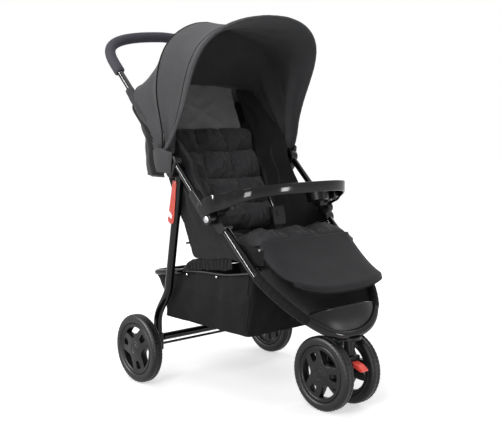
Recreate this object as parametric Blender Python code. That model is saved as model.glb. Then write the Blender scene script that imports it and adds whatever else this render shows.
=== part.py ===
"""A three-wheeled baby stroller with a reclining seat, a snack tray, a canopy and a basket.

Units are metres, +Z is up, -Y is the front, +X is the child's left.
Side-view points are (y, z) pairs measured from the ground point under the rear axle.
"""
import math

import bmesh
import bpy
from mathutils import Vector

# Clearances
GAP = 0.0003
PLAY = 0.0006
FABRIC_GAP = 0.0005

# Wheels and axles
REAR_AXLE_Y = 0.213
WHEEL_RADIUS = 0.1025
TYRE_WIDTH = 0.034
TYRE_DEPTH = 0.026
WHEELBASE = 0.5605
REAR_TRACK = 0.528
FRONT_TRACK = 0.104
AXLE_RADIUS = 0.004
HUB_RADIUS = 0.023
RIM_WEB = 0.010
SPOKES = 3
WHEEL_SIDES = 24
CAP_WALL = 0.004
AXLE_SHORT = CAP_WALL + 0.0006

BORE_FROM = 0.1
BORE_TO = 0.3
BOSS_RADIUS = 0.0095

# Steel tubes
LEG_RADIUS = 0.0125
HANDLE_RADIUS = 0.0095
LINK_RADIUS = 0.008
ROD_RADIUS = 0.004
BOW_RADIUS = 0.0035
LEG_X = 0.200
LINK_X = 0.172
WALL = 0.003
HANDLE_X = LEG_X + LEG_RADIUS + 2 * WALL + HANDLE_RADIUS
HOUSING_IN = LEG_X + LEG_RADIUS + 0.0027
HOUSING_OUT = HANDLE_X + HANDLE_RADIUS + WALL

# Frame pivots in side view
FOLD_PIVOT = Vector((-0.300, 0.513))
LEG_PIVOT = Vector((-0.132, 0.635))
LINK_PIVOT = Vector((-0.436, 0.3886))
# Half of the lower link's centre line
LINK_PATH = (
    (LINK_X, LINK_PIVOT + Vector((-0.012, -0.003))),
    (LINK_X, LINK_PIVOT + Vector((0.030, 0.010))),
    (LINK_X, (-0.360, 0.4075)),
    (LINK_X, (-0.250, 0.3885)),
    (LINK_X, (-0.150, 0.3690)),
    (LINK_X, (-0.128, 0.3570)),
    (LINK_X, (-0.108, 0.3400)),
    (LINK_X, (-0.080, 0.3345)),
    (LINK_X, (0.015, 0.3200)),
    (LINK_X - 0.007, (0.040, 0.3165)),
    (LINK_X - 0.027, (0.057, 0.3150)),
    (LINK_X - 0.060, (0.062, 0.3140)),
    (0, (0.062, 0.3140)),
)
HANDLE_ANGLE = math.radians(43.9)
FRONT_ANGLE = math.radians(42.5)
HANDLE_DIR = Vector((math.cos(HANDLE_ANGLE), math.sin(HANDLE_ANGLE)))
FRONT_DIR = Vector((-math.cos(FRONT_ANGLE), -math.sin(FRONT_ANGLE)))
BOLT_RADIUS = 0.005
BOLT_HEAD = 0.010

# Handle
HANDLE_STRAIGHT = 0.626
HANDLE_TOP = 1.045
HANDLE_REACH = 0.222
GRIP_WALL = 0.0055
GRIP_START = 0.590
GRIP_SIDES = 10

# Front bow and caster
BOW_FRONT = 0.616
BOW_HEIGHT = 0.212
CASTER_Y = -0.605
CUP_RADIUS = 0.016
CUP_BOTTOM = 0.152
PIN_RADIUS = 0.006
FORK_HALF = 0.026

LOCK_PIVOT = Vector((CASTER_Y - 0.0225, 0.134))
LOCK_HALF = 0.012
LOCK_PIN = 0.002

FOOTPLATE_HALF = 0.094
FOOTPLATE_HEIGHT = 0.056
FOOTPLATE_WALL = 0.004
FOOTPLATE_SEAT = 0.0006
FOOTPLATE_LIFT = 0.004

# Rear frame
CROSS_HEIGHT = 0.125
FOOT_Y = -0.008
FOOT_HEIGHT = 0.117
BRACKET_RADIUS = 0.0165
BRAKE_Y = 0.031
BRAKE_HEIGHT = 0.112
PEDAL_LENGTH = 0.042
HOOK_THICK = 0.002
RIVET_RADIUS = 0.0035
PEDAL_CLEARANCE = 0.0094
EAR_HALF = 0.005
PEDAL_START = LEG_X + EAR_HALF + PLAY
PEDAL_END = REAR_TRACK / 2 - TYRE_WIDTH / 2 - PEDAL_CLEARANCE

# Seat
SEAT_FRONT = Vector((-0.430, 0.440))
SEAT_REAR = Vector((-0.165, 0.390))
SEAT_HALF = 0.163
BOARD = 0.006
CUSHION = 0.034
BACK_BASE = Vector((-0.130, 0.425))
BACK_TOP = Vector((0.028, 0.775))
BACK_HALF = SEAT_HALF
PANEL_THICK = 0.003
PANEL_IN = LEG_X - LEG_RADIUS - WALL - GAP - PANEL_THICK
PIN_ROD = 0.003
KNUCKLE = 0.0065
LEG_REST_PIVOT = Vector((-0.4475, 0.4375))
LEG_REST_LENGTH = 0.182
LEG_REST_DROP = math.radians(32)
LEG_REST_PAD = 0.014

STRAP_SHARE = 0.34
STRAP_LENGTH = 0.070
STRAP_WIDTH = 0.030
STRAP_THICK = 0.002
BUCKLE_LAP = 0.016
BUCKLE_LENGTH = 0.052
BUCKLE_WIDTH = 0.046
BUCKLE_THICK = 0.016
BUTTON_RADIUS = 0.009

# Tray
TRAY_HALF = 0.2240
TRAY_REAR = -0.262
TRAY_FRONT = -0.452
TRAY_LIFT = 0.236
TRAY_TOP = 0.566
TRAY_LIP = 0.030
TRAY_WALL = 0.0045
TRAY_EXPONENT = 3.4
DECK_DROP = 0.006
TRAY_SOCKET_LIFT = 0.002
TRAY_PEG = 0.034
TRAY_PEG_RADIUS = 0.005
TRAY_BUTTON_RADIUS = 0.006
TRAY_BUTTON_AT = 0.046
TRAY_SOCKET = 0.043
TRAY_SOCKET_X = 0.2125
TRAY_PEG_START = Vector((-0.312, 0.552))
CUP_X = 0.118
CUP_Y = -0.362
CUP_HOLDER_RADIUS = 0.036
CUP_HOLDER_DEPTH = 0.040

# Canopy
CANOPY_PIVOT = Vector((-0.100, 0.668))
MID_BOW_X = HOUSING_OUT + GAP + BOW_RADIUS
FRONT_BOW_X = MID_BOW_X + 2 * BOW_RADIUS + PLAY
FABRIC = 0.002
SEAM_SHARE = 0.015
SPIGOT_PROUD = 0.002
SPIGOT_RADIUS = 0.0025

FRONT_BOW = (
    (FRONT_BOW_X, CANOPY_PIVOT.x, CANOPY_PIVOT.y),
    (FRONT_BOW_X, -0.124, 0.692),
    (0.2430, -0.147, 0.729),
    (0.2320, -0.169, 0.782),
    (0.2280, -0.193, 0.838),
    (0.2290, -0.218, 0.894),
    (0.2250, -0.243, 0.946),
    (0.2080, -0.266, 0.991),
    (0.1710, -0.288, 1.026),
    (0.1150, -0.308, 1.050),
    (0.0490, -0.322, 1.062),
    (0.0000, -0.326, 1.064),
)
MID_BOW = (
    (MID_BOW_X, CANOPY_PIVOT.x, CANOPY_PIVOT.y),
    (MID_BOW_X, -0.113, 0.700),
    (0.2470, -0.117, 0.745),
    (0.2490, -0.109, 0.790),
    (0.2470, -0.095, 0.835),
    (0.2420, -0.086, 0.876),
    (0.2320, -0.080, 0.918),
    (0.2160, -0.074, 0.957),
    (0.1900, -0.065, 0.992),
    (0.1530, -0.053, 1.022),
    (0.1030, -0.037, 1.047),
    (0.0480, -0.020, 1.064),
    (0.0000, -0.013, 1.070),
)

# Levels of the skirt behind the seat: height, y of its corners, y of its back
SKIRT_LEVELS = (
    (0.838, 0.054, 0.060),
    (0.795, 0.046, 0.054),
    (0.740, 0.018, 0.046),
    (0.700, -0.016, 0.040),
    (0.655, -0.010, 0.036),
    (0.624, -0.018, 0.032),
)
SKIRT_FRONT = -0.083

# Basket
BASKET_HALF = LINK_X - LINK_RADIUS - GAP
BASKET_FLOOR = 0.197
BASKET_WALL = 0.003
BASKET_FRONT = -0.424

# Colours
BLACK = (0.012, 0.012, 0.013, 1)
FABRIC_DARK = (0.020, 0.020, 0.022, 1)
FABRIC_MID = (0.035, 0.035, 0.038, 1)
RUBBER = (0.040, 0.040, 0.043, 1)
RED = (0.80, 0.07, 0.05, 1)
STEEL = (0.62, 0.62, 0.64, 1)

materials = {}


def material(name, colour, roughness, metallic=0.0):
    """One Principled material, made once for each name."""
    if name not in materials:
        made = bpy.data.materials.new(name)
        made.use_nodes = True
        shader = made.node_tree.nodes["Principled BSDF"]
        shader.inputs["Base Color"].default_value = colour
        shader.inputs["Roughness"].default_value = roughness
        shader.inputs["Metallic"].default_value = metallic
        materials[name] = made
    return materials[name]


def painted():
    return material("black_painted_steel", BLACK, 0.25)


def plastic():
    return material("black_plastic", BLACK, 0.4)


def gloss():
    return material("gloss_black_plastic", BLACK, 0.12)


def fabric():
    return material("black_polyester", FABRIC_DARK, 0.9)


def canopy_cloth():
    return material("grey_black_polyester", FABRIC_MID, 0.9)


def foam():
    return material("grip_foam", RUBBER, 0.85)


def tyre_foam():
    return material("tyre_eva", RUBBER, 0.7)


def red_plastic():
    return material("red_plastic", RED, 0.4)


def steel():
    return material("zinc_steel", STEEL, 0.3, 1.0)


def place(x, point):
    """A side-view point at a given x, in world coordinates."""
    return Vector((x, point[0] + REAR_AXLE_Y, point[1]))


def finish(obj, made, smooth=35):
    """Gives an object its material and smooth shading between sharp edges."""
    obj.data.materials.append(made)
    obj.data.shade_smooth()
    obj.data.set_sharp_from_angle(angle=math.radians(smooth))
    return obj


def from_bmesh(name, bm, made):
    """A linked object from a bmesh, with its faces turned outwards."""
    bmesh.ops.recalc_face_normals(bm, faces=bm.faces)
    mesh = bpy.data.meshes.new(name)
    bm.to_mesh(mesh)
    bm.free()
    obj = bpy.data.objects.new(name, mesh)
    bpy.context.scene.collection.objects.link(obj)
    return finish(obj, made)


def bezier(points, steps, ends=True):
    """Points along a Bezier curve of any degree."""
    degree = len(points) - 1
    made = []
    for i in range(steps + 1):
        t = i / steps
        total = Vector((0, 0, 0))
        for k, point in enumerate(points):
            total += math.comb(degree, k) * (1 - t) ** (degree - k) * t**k * Vector(point)
        made.append(total)
    return made if ends else made[1:]


def mirrored(half):
    """A whole left-to-right path from its half, which runs from the side to the middle."""
    other = [Vector((-p.x, p.y, p.z)) for p in reversed(half[:-1])]
    return half + other


def tube(name, points, radius, made, resolution=3):
    """A round tube along a polyline, as a bevelled curve with filled caps."""
    curve = bpy.data.curves.new(name, "CURVE")
    curve.dimensions = "3D"
    curve.bevel_depth = radius
    curve.bevel_resolution = resolution
    curve.use_fill_caps = True
    spline = curve.splines.new("POLY")
    spline.points.add(len(points) - 1)
    for target, point in zip(spline.points, points):
        target.co = (*point, 1)
    curve.materials.append(made)
    obj = bpy.data.objects.new(name, curve)
    bpy.context.scene.collection.objects.link(obj)
    return obj


def solid_tube(name, points, radius, made, resolution=3):
    """A tube as a mesh, so that holes can be cut in it and shapes joined on."""
    curve = tube(name + "_path", points, radius, made, resolution)
    bpy.context.view_layer.update()
    mesh = bpy.data.meshes.new_from_object(curve.evaluated_get(bpy.context.evaluated_depsgraph_get()))
    bpy.data.objects.remove(curve)
    bm = bmesh.new()
    bm.from_mesh(mesh)
    bmesh.ops.remove_doubles(bm, verts=bm.verts, dist=0.00001)
    bpy.data.meshes.remove(mesh)
    return from_bmesh(name, bm, made)


def across(direction):
    """Two unit vectors square to a direction."""
    side = Vector((1, 0, 0)) if abs(direction.x) < 0.9 else Vector((0, 0, 1))
    up = direction.cross(side).normalized()
    return up.cross(direction).normalized(), up


def rod_bmesh(start, end, radius, sides=16):
    """A closed cylinder between two points."""
    bm = bmesh.new()
    first, second = across((end - start).normalized())
    rings = []
    for centre in (start, end):
        ring = []
        for i in range(sides):
            turn = 2 * math.pi * i / sides
            ring.append(bm.verts.new(centre + radius * (math.cos(turn) * first + math.sin(turn) * second)))
        rings.append(ring)
    for i in range(sides):
        j = (i + 1) % sides
        bm.faces.new((rings[0][i], rings[0][j], rings[1][j], rings[1][i]))
    bm.faces.new(rings[0])
    bm.faces.new(rings[1])
    return bm


def rod(name, start, end, radius, made, sides=16):
    return from_bmesh(name, rod_bmesh(start, end, radius, sides), made)


def turned_bmesh(start, axis, profile, sides=32):
    """A turned solid from (distance along the axis, radius) pairs; a radius of 0 is a point on the axis."""
    bm = bmesh.new()
    first, second = across(axis)
    rings = []
    for along, radius in profile:
        centre = start + along * axis
        turns = [2 * math.pi * i / sides for i in range(sides if radius else 1)]
        ring = [centre + radius * (math.cos(t) * first + math.sin(t) * second) for t in turns]
        rings.append([bm.verts.new(p) for p in ring])
    for ring, after in zip(rings, rings[1:] + rings[:1]):
        for i in range(sides):
            j = (i + 1) % sides
            corners = (ring[i % len(ring)], ring[j % len(ring)], after[j % len(after)], after[i % len(after)])
            around = list(dict.fromkeys(corners))
            if len(around) > 2:
                bm.faces.new(around)
    return bm


def turned(name, start, axis, profile, made, sides=32):
    return from_bmesh(name, turned_bmesh(start, axis, profile, sides), made)


def sleeve(name, points, outer, inner, made, sides=10):
    """A hollow sleeve along a path."""
    bm = bmesh.new()
    rings = {outer: [], inner: []}
    first = across((points[1] - points[0]).normalized())[0]
    for i, point in enumerate(points):
        into = (point - points[max(i - 1, 0)]).normalized()
        out = (points[min(i + 1, len(points) - 1)] - point).normalized()
        direction = (into + out).normalized()
        second = direction.cross(first).normalized()
        first = second.cross(direction)
        for radius, kept in rings.items():
            turns = [2 * math.pi * k / sides for k in range(sides)]
            ring = [point + radius * (math.cos(t) * first + math.sin(t) * second) for t in turns]
            kept.append([bm.verts.new(p) for p in ring])
    walls = rings[outer] + rings[inner][::-1]
    for ring, after in zip(walls, walls[1:] + walls[:1]):
        for k in range(sides):
            j = (k + 1) % sides
            bm.faces.new((ring[k], ring[j], after[j], after[k]))
    return from_bmesh(name, bm, made)


def plate_bmesh(outline, x_from, x_to):
    """A side-view outline extruded along x."""
    bm = bmesh.new()
    low = [bm.verts.new(place(x_from, p)) for p in outline]
    high = [bm.verts.new(place(x_to, p)) for p in outline]
    bm.faces.new(low)
    bm.faces.new(high)
    for i in range(len(outline)):
        j = (i + 1) % len(outline)
        bm.faces.new((low[i], low[j], high[j], high[i]))
    return bm


def plate(name, outline, x_from, x_to, made):
    """A flat piece from its side-view outline."""
    return from_bmesh(name, plate_bmesh(outline, x_from, x_to), made)


def stadium(start, end, radius, radius_end=None, steps=6):
    """The outline of a bar with round ends, in side view."""
    start, end = Vector(start), Vector(end)
    radius_end = radius if radius_end is None else radius_end
    along = math.atan2(end.y - start.y, end.x - start.x)
    points = []
    for centre, size, turn in ((end, radius_end, along - math.pi / 2), (start, radius, along + math.pi / 2)):
        for i in range(steps + 1):
            angle = turn + math.pi * i / steps
            points.append(centre + size * Vector((math.cos(angle), math.sin(angle))))
    return points


def helper(bm, name):
    """A cutter or an added shape, which isn't a piece of its own."""
    bmesh.ops.recalc_face_normals(bm, faces=bm.faces)
    mesh = bpy.data.meshes.new(name)
    bm.to_mesh(mesh)
    bm.free()
    obj = bpy.data.objects.new(name, mesh)
    bpy.context.scene.collection.objects.link(obj)
    obj.hide_render = True
    obj.display_type = "WIRE"
    return obj


def combine(obj, bm, operation, name):
    """Cuts a shape from an object, or joins it on, by an exact boolean."""
    step = obj.modifiers.new(name, "BOOLEAN")
    step.operation = operation
    step.solver = "EXACT"
    step.object = helper(bm, obj.name + "_" + name)
    return obj


def cut(obj, bm, name):
    return combine(obj, bm, "DIFFERENCE", name)


def join(obj, bm, name):
    return combine(obj, bm, "UNION", name)


def sheet_solid(name, upper, lower, made):
    """A closed solid between two grids of points of the same size."""
    bm = bmesh.new()
    grids = []
    for grid in (upper, lower):
        grids.append([[bm.verts.new(p) for p in row] for row in grid])
    rows, columns = len(upper), len(upper[0])
    for r in range(rows - 1):
        for c in range(columns - 1):
            for grid in grids:
                bm.faces.new((grid[r][c], grid[r][c + 1], grid[r + 1][c + 1], grid[r + 1][c]))
    top, bottom = grids
    edge = [(0, c) for c in range(columns)] + [(r, columns - 1) for r in range(1, rows)]
    edge += [(rows - 1, c) for c in range(columns - 2, -1, -1)] + [(r, 0) for r in range(rows - 2, 0, -1)]
    for (r, c), (r2, c2) in zip(edge, edge[1:] + edge[:1]):
        bm.faces.new((top[r][c], top[r2][c2], bottom[r2][c2], bottom[r][c]))
    return from_bmesh(name, bm, made)


def grid_normals(grid):
    """Unit normals at each point of a grid."""
    rows, columns = len(grid), len(grid[0])
    normals = []
    for r in range(rows):
        line = []
        for c in range(columns):
            down = grid[min(r + 1, rows - 1)][c] - grid[max(r - 1, 0)][c]
            along = grid[r][min(c + 1, columns - 1)] - grid[r][max(c - 1, 0)]
            line.append(down.cross(along).normalized())
        normals.append(line)
    return normals


def skin(name, grid, inner, thickness, made):
    """A cloth panel that lies off a grid of points by a given distance, on its outer side."""
    normals = grid_normals(grid)
    middle = grid[len(grid) // 2][len(grid[0]) // 2]
    sign = 1 if normals[len(grid) // 2][len(grid[0]) // 2].z > 0 or middle.z < 0 else -1
    offsets = []
    for distance in (inner + thickness, inner):
        offsets.append(
            [[p + sign * distance * n for p, n in zip(row, line)] for row, line in zip(grid, normals)]
        )
    return sheet_solid(name, offsets[0], offsets[1], made)


def anchor(name, location):
    """An empty on a joint's axis, which carries a moving group."""
    obj = bpy.data.objects.new(name, None)
    bpy.context.scene.collection.objects.link(obj)
    obj.location = location
    return obj


def carry(parent, children):
    """Parents pieces to an empty without moving them."""
    bpy.context.view_layer.update()
    for child in children:
        child.parent = parent
        child.matrix_parent_inverse = parent.matrix_world.inverted()


def sides():
    """The child's right and left, as (name, sign)."""
    return (("right", -1), ("left", 1))


def handle_point(distance):
    """A point on the handle tube's straight run, measured from the fold pivot."""
    return FOLD_PIVOT + distance * HANDLE_DIR


def front_point(distance):
    """A point on the front tube's straight run, measured from the fold pivot."""
    return FOLD_PIVOT + distance * FRONT_DIR


def front_tube_path():
    """The centre line of the front tube: down one leg, round the bow and up the other."""
    top = place(LEG_X, front_point(-0.022))
    bend = place(LEG_X, front_point(0.190))
    tangent = place(LEG_X, front_point(0.272))
    shoulder = place(LEG_X * 0.675, (-BOW_FRONT, BOW_HEIGHT + 0.033))
    flat = place(LEG_X * 0.41, (-BOW_FRONT, BOW_HEIGHT))
    middle = place(0, (-BOW_FRONT, BOW_HEIGHT))
    return mirrored([top] + bezier([bend, tangent, shoulder, flat, middle], 10))


def front_frame():
    """The front tube: both front legs and the bow between them, in one bent tube."""
    obj = solid_tube("front_frame_tube", front_tube_path(), LEG_RADIUS, painted())
    for label, sign in sides():
        drill_bolt(obj, sign, FOLD_PIVOT, BOLT_RADIUS, "bolt_hole_" + label)
        drill_bolt(obj, sign, LINK_PIVOT, ROD_RADIUS, "rod_hole_" + label)
    return obj


def front_joint(label, sign):
    """The moulded joint on the top of a front leg, with the peg that the tray slides on."""
    outline = stadium(front_point(-0.026), front_point(0.036), 0.0165)
    inner = sign * (LEG_X - LEG_RADIUS - WALL)
    outer = sign * (LEG_X + LEG_RADIUS + 0.0023)
    obj = plate("front_joint_" + label, outline, inner, outer, plastic())
    start = place(sign * LEG_X, front_point(-0.022 - PLAY))
    bore = rod_bmesh(start, place(sign * LEG_X, front_point(0.080)), LEG_RADIUS + GAP)
    post = plate_bmesh(stadium(FOLD_PIVOT, TRAY_PEG_START, 0.012, 0.009), inner, outer)
    join(obj, post, "tray_post")
    join(obj, rod_bmesh(tray_peg(sign, 0), tray_peg(sign, TRAY_PEG), TRAY_PEG_RADIUS, 16), "tray_peg")
    cut(obj, bore, "tube_bore")
    drill_bolt(obj, sign, FOLD_PIVOT, BOLT_RADIUS, "bolt_hole")
    return obj


def drill_bolt(obj, sign, pivot, radius, name):
    """A hole along x for a pin on one side of the stroller."""
    cut(obj, rod_bmesh(place(sign * BORE_FROM, pivot), place(sign * BORE_TO, pivot), radius + GAP), name)


def fold_bolt(label, sign):
    """The bolt that the handle folds about, with its bright cap."""
    inner = LEG_X - LEG_RADIUS - WALL
    head = HOUSING_OUT + GAP
    profile = (
        (0, 0),
        (0, BOLT_RADIUS),
        (head - inner, BOLT_RADIUS),
        (head - inner, BOLT_HEAD),
        (head - inner + 0.0015, BOLT_HEAD),
        (head - inner + 0.0040, BOLT_HEAD * 0.6),
        (head - inner + 0.0048, 0),
    )
    start = place(sign * inner, FOLD_PIVOT)
    return turned("fold_bolt_" + label, start, Vector((sign, 0, 0)), profile, steel(), 20)


def handle():
    """The handle tube, its foam grip and the moulded end pieces of its two legs."""
    bottom = place(HANDLE_X, handle_point(-0.012))
    straight = place(HANDLE_X, handle_point(HANDLE_STRAIGHT))
    tangent = place(HANDLE_X, handle_point(HANDLE_STRAIGHT + 0.069))
    shoulder = place(HANDLE_X - 0.013, (HANDLE_REACH + 0.010, HANDLE_TOP - 0.015))
    flat = place(HANDLE_X * 0.48, (HANDLE_REACH, HANDLE_TOP - 0.003))
    middle = place(0, (HANDLE_REACH, HANDLE_TOP))
    bend = bezier([straight, tangent, shoulder, flat, middle], 10)
    pieces = [solid_tube("handle_tube", mirrored([bottom] + bend), HANDLE_RADIUS, painted(), 3)]
    for label, sign in sides():
        drill_bolt(pieces[0], sign, FOLD_PIVOT, BOLT_RADIUS, "bolt_hole_" + label)
    grip = mirrored([place(HANDLE_X, handle_point(GRIP_START))] + bend)
    inner = (HANDLE_RADIUS + GAP) / math.cos(math.pi / GRIP_SIDES)
    pieces.append(sleeve("handle_grip", grip, inner + GRIP_WALL, inner, foam(), GRIP_SIDES))
    for label, sign in sides():
        pieces.append(handle_end(label, sign))
        pieces.append(upper_joint(label, sign))
    pieces.append(latch_stud())
    return pieces


def handle_end(label, sign):
    """The moulded fold housing on the lower end of a handle leg."""
    outline = stadium(FOLD_PIVOT, handle_point(0.090), 0.0165, 0.0135)
    obj = plate("fold_housing_" + label, outline, sign * HOUSING_IN, sign * HOUSING_OUT, plastic())
    bore = rod_bmesh(
        place(sign * HANDLE_X, handle_point(-0.012 - PLAY)),
        place(sign * HANDLE_X, handle_point(0.150)),
        HANDLE_RADIUS + GAP,
    )
    cut(obj, bore, "tube_bore")
    drill_bolt(obj, sign, FOLD_PIVOT, BOLT_RADIUS, "bolt_hole")
    return obj


def upper_joint(label, sign):
    """The moulded joint on a handle leg that a rear leg and the canopy bows turn on."""
    foot = LEG_PIVOT
    near = (LEG_PIVOT - FOLD_PIVOT).dot(HANDLE_DIR)
    top = handle_point(near + 0.012)
    outline = stadium(foot, top, 0.017, 0.019)
    obj = plate("upper_joint_" + label, outline, sign * HOUSING_IN, sign * HOUSING_OUT, plastic())
    arm = plate_bmesh(stadium(CANOPY_PIVOT, top, 0.012), sign * HOUSING_IN, sign * HOUSING_OUT)
    join(obj, arm, "canopy_arm")
    bore = rod_bmesh(
        place(sign * HANDLE_X, handle_point(near - 0.080)),
        place(sign * HANDLE_X, handle_point(near + 0.100)),
        HANDLE_RADIUS + GAP,
    )
    cut(obj, bore, "tube_bore")
    pin_start = place(sign * (HOUSING_IN + 0.0015), foot)
    join(obj, rod_bmesh(pin_start, place(sign * (LEG_X - 0.006), foot), BOLT_RADIUS), "leg_pin")
    spigot_end = FRONT_BOW_X + BOW_RADIUS + SPIGOT_PROUD
    root = place(sign * (HOUSING_OUT - 0.0015), CANOPY_PIVOT)
    join(obj, rod_bmesh(root, place(sign * spigot_end, CANOPY_PIVOT), SPIGOT_RADIUS, 12), "bow_spigot")
    return obj


def latch_stud():
    """The stud on the right handle leg that the fold hook catches."""
    near = (LEG_PIVOT - FOLD_PIVOT).dot(HANDLE_DIR)
    point = handle_point(near + 0.140)
    inner = LEG_X + LEG_RADIUS + GAP
    outer = HANDLE_X - HANDLE_RADIUS - GAP
    return rod("latch_stud", place(-inner, point), place(-outer, point), 0.004, steel(), 14)


def rear_leg_points(sign):
    """The bent centre line of a rear leg, from its pivot to its foot."""
    slope = Vector((0.187, -1)).normalized()
    knee = LEG_PIVOT + 0.348 * slope
    bend = [
        place(sign * LEG_X, knee),
        place(sign * LEG_X, knee + 0.045 * slope),
        place(sign * LEG_X, (FOOT_Y, 0.222)),
        place(sign * LEG_X, (FOOT_Y, 0.170)),
    ]
    top = place(sign * LEG_X, LEG_PIVOT - 0.011 * slope)
    return [top] + bezier(bend, 6) + [place(sign * LEG_X, (FOOT_Y, FOOT_HEIGHT))]


def rear_frame():
    """The rear legs, their cross tube, the axle and the moulded axle brackets."""
    pieces = []
    for label, sign in sides():
        leg = solid_tube("rear_leg_" + label, rear_leg_points(sign), LEG_RADIUS, painted(), 3)
        drill_bolt(leg, sign, LEG_PIVOT, BOLT_RADIUS, "pin_hole")
        pieces.append(leg)
        pieces.append(axle_bracket(label, sign))
    reach = LEG_X - BRACKET_RADIUS - GAP
    cross = (FOOT_Y, CROSS_HEIGHT)
    pieces.append(rod("rear_cross_tube", place(-reach, cross), place(reach, cross), 0.011, painted()))
    end = REAR_TRACK / 2 + TYRE_WIDTH / 2 - AXLE_SHORT
    axle = (0, WHEEL_RADIUS)
    pieces.append(rod("rear_axle", place(-end, axle), place(end, axle), AXLE_RADIUS, steel()))
    pieces.append(hook_rivet())
    return pieces


def axle_bracket(label, sign):
    """The moulded foot of a rear leg, which holds the axle and the brake rod."""
    top = FOOT_HEIGHT + 0.022
    start = place(sign * LEG_X, (FOOT_Y, WHEEL_RADIUS - 0.012))
    end = place(sign * LEG_X, (FOOT_Y, top))
    obj = rod("axle_bracket_" + label, start, end, BRACKET_RADIUS, plastic(), 20)
    hub_face = REAR_TRACK / 2 - TYRE_WIDTH / 2 - PLAY
    axle = (0, WHEEL_RADIUS)
    brake_rod = (BRAKE_Y, BRAKE_HEIGHT)
    join(obj, rod_bmesh(place(sign * LEG_X, axle), place(sign * hub_face, axle), BOSS_RADIUS), "axle_boss")
    ear = stadium((FOOT_Y, BRAKE_HEIGHT), brake_rod, 0.009)
    join(obj, plate_bmesh(ear, sign * (LEG_X - EAR_HALF), sign * (LEG_X + EAR_HALF)), "brake_ear")
    leg_end = place(sign * LEG_X, (FOOT_Y, FOOT_HEIGHT - GAP))
    cut(obj, rod_bmesh(leg_end, place(sign * LEG_X, (FOOT_Y, 0.3)), LEG_RADIUS + GAP), "leg_bore")
    drill_bolt(obj, sign, axle, AXLE_RADIUS, "axle_bore")
    drill_bolt(obj, sign, brake_rod, ROD_RADIUS, "brake_bore")
    return obj


def brake():
    """The brake rod with a foot pedal at each end."""
    reach = LEG_X + 0.012
    centre = (BRAKE_Y, BRAKE_HEIGHT)
    obj = rod("brake_pedals", place(-reach, centre), place(reach, centre), ROD_RADIUS, plastic(), 14)
    for label, sign in sides():
        outline = stadium(centre, (BRAKE_Y + PEDAL_LENGTH, BRAKE_HEIGHT + 0.012), 0.007, 0.004)
        join(obj, plate_bmesh(outline, sign * PEDAL_START, sign * PEDAL_END), "pedal_" + label)
    return obj


def hook_rivet():
    """The rivet on the right rear leg that the red fold hook hangs from."""
    inner = LEG_X + LEG_RADIUS + GAP
    outer = inner + HOOK_THICK + GAP
    pivot = hook_pivot()
    return rod("hook_rivet", place(-inner, pivot), place(-outer, pivot), RIVET_RADIUS, steel(), 14)


def hook_pivot():
    """The fold hook's pivot, on the leg just under its own pivot."""
    slope = Vector((0.187, -1)).normalized()
    return LEG_PIVOT + 0.036 * slope + Vector((0.005, 0))


def fold_hook():
    """The red hook that holds the folded frame shut."""
    pivot = hook_pivot()
    shape = [
        (0.0075, 0.004), (0.004, 0.008), (-0.004, 0.008), (-0.0075, 0.004),
        (-0.0085, -0.030), (-0.0115, -0.078), (-0.0105, -0.084), (0.000, -0.092),
        (0.002, -0.100), (-0.002, -0.106), (-0.010, -0.100), (-0.0135, -0.104), (-0.013, -0.112),
        (-0.006, -0.119), (0.003, -0.119), (0.0095, -0.113), (0.0105, -0.100), (0.0095, -0.070),
    ]
    outline = [pivot + Vector((-y, z)) for y, z in shape]
    inner = LEG_X + LEG_RADIUS + GAP
    obj = plate("fold_hook", outline, -inner, -(inner + HOOK_THICK), red_plastic())
    hole = rod_bmesh(place(-BORE_FROM, pivot), place(-BORE_TO, pivot), RIVET_RADIUS + GAP, 14)
    cut(obj, hole, "rivet_hole")
    return obj


def lower_link():
    """The bent tube loop that carries the basket and ties the rear legs to the front ones."""
    points = mirrored([place(x, p) for x, p in LINK_PATH])
    obj = solid_tube("lower_link_tube", points, LINK_RADIUS, painted(), 2)
    for label, sign in sides():
        drill_bolt(obj, sign, LINK_PIVOT, ROD_RADIUS, "eye_" + label)
    return obj


def seat_cross_rod():
    """The rod between the front legs that carries the seat and the lower link."""
    reach = LEG_X - LEG_RADIUS - GAP
    return rod("seat_cross_rod", place(-reach, LINK_PIVOT), place(reach, LINK_PIVOT), ROD_RADIUS, steel())


def wheel(label, x, y, outward):
    """A foam tyre on a three-spoked moulded rim; returns both and the wheel's centre."""
    centre = place(x, (y, WHEEL_RADIUS))
    axis = Vector((outward, 0, 0))
    half = TYRE_WIDTH / 2
    inner = WHEEL_RADIUS - TYRE_DEPTH
    tyre_profile = (
        (-half * 0.72, inner),
        (half * 0.72, inner),
        (half, inner + 0.006),
        (half, WHEEL_RADIUS - 0.009),
        (half * 0.5, WHEEL_RADIUS),
        (-half * 0.5, WHEEL_RADIUS),
        (-half, WHEEL_RADIUS - 0.009),
        (-half, inner + 0.006),
    )
    tyre = turned("tyre_" + label, centre, axis, tyre_profile, tyre_foam(), WHEEL_SIDES)
    return [tyre, rim(label, centre, axis, inner - GAP)]


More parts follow.
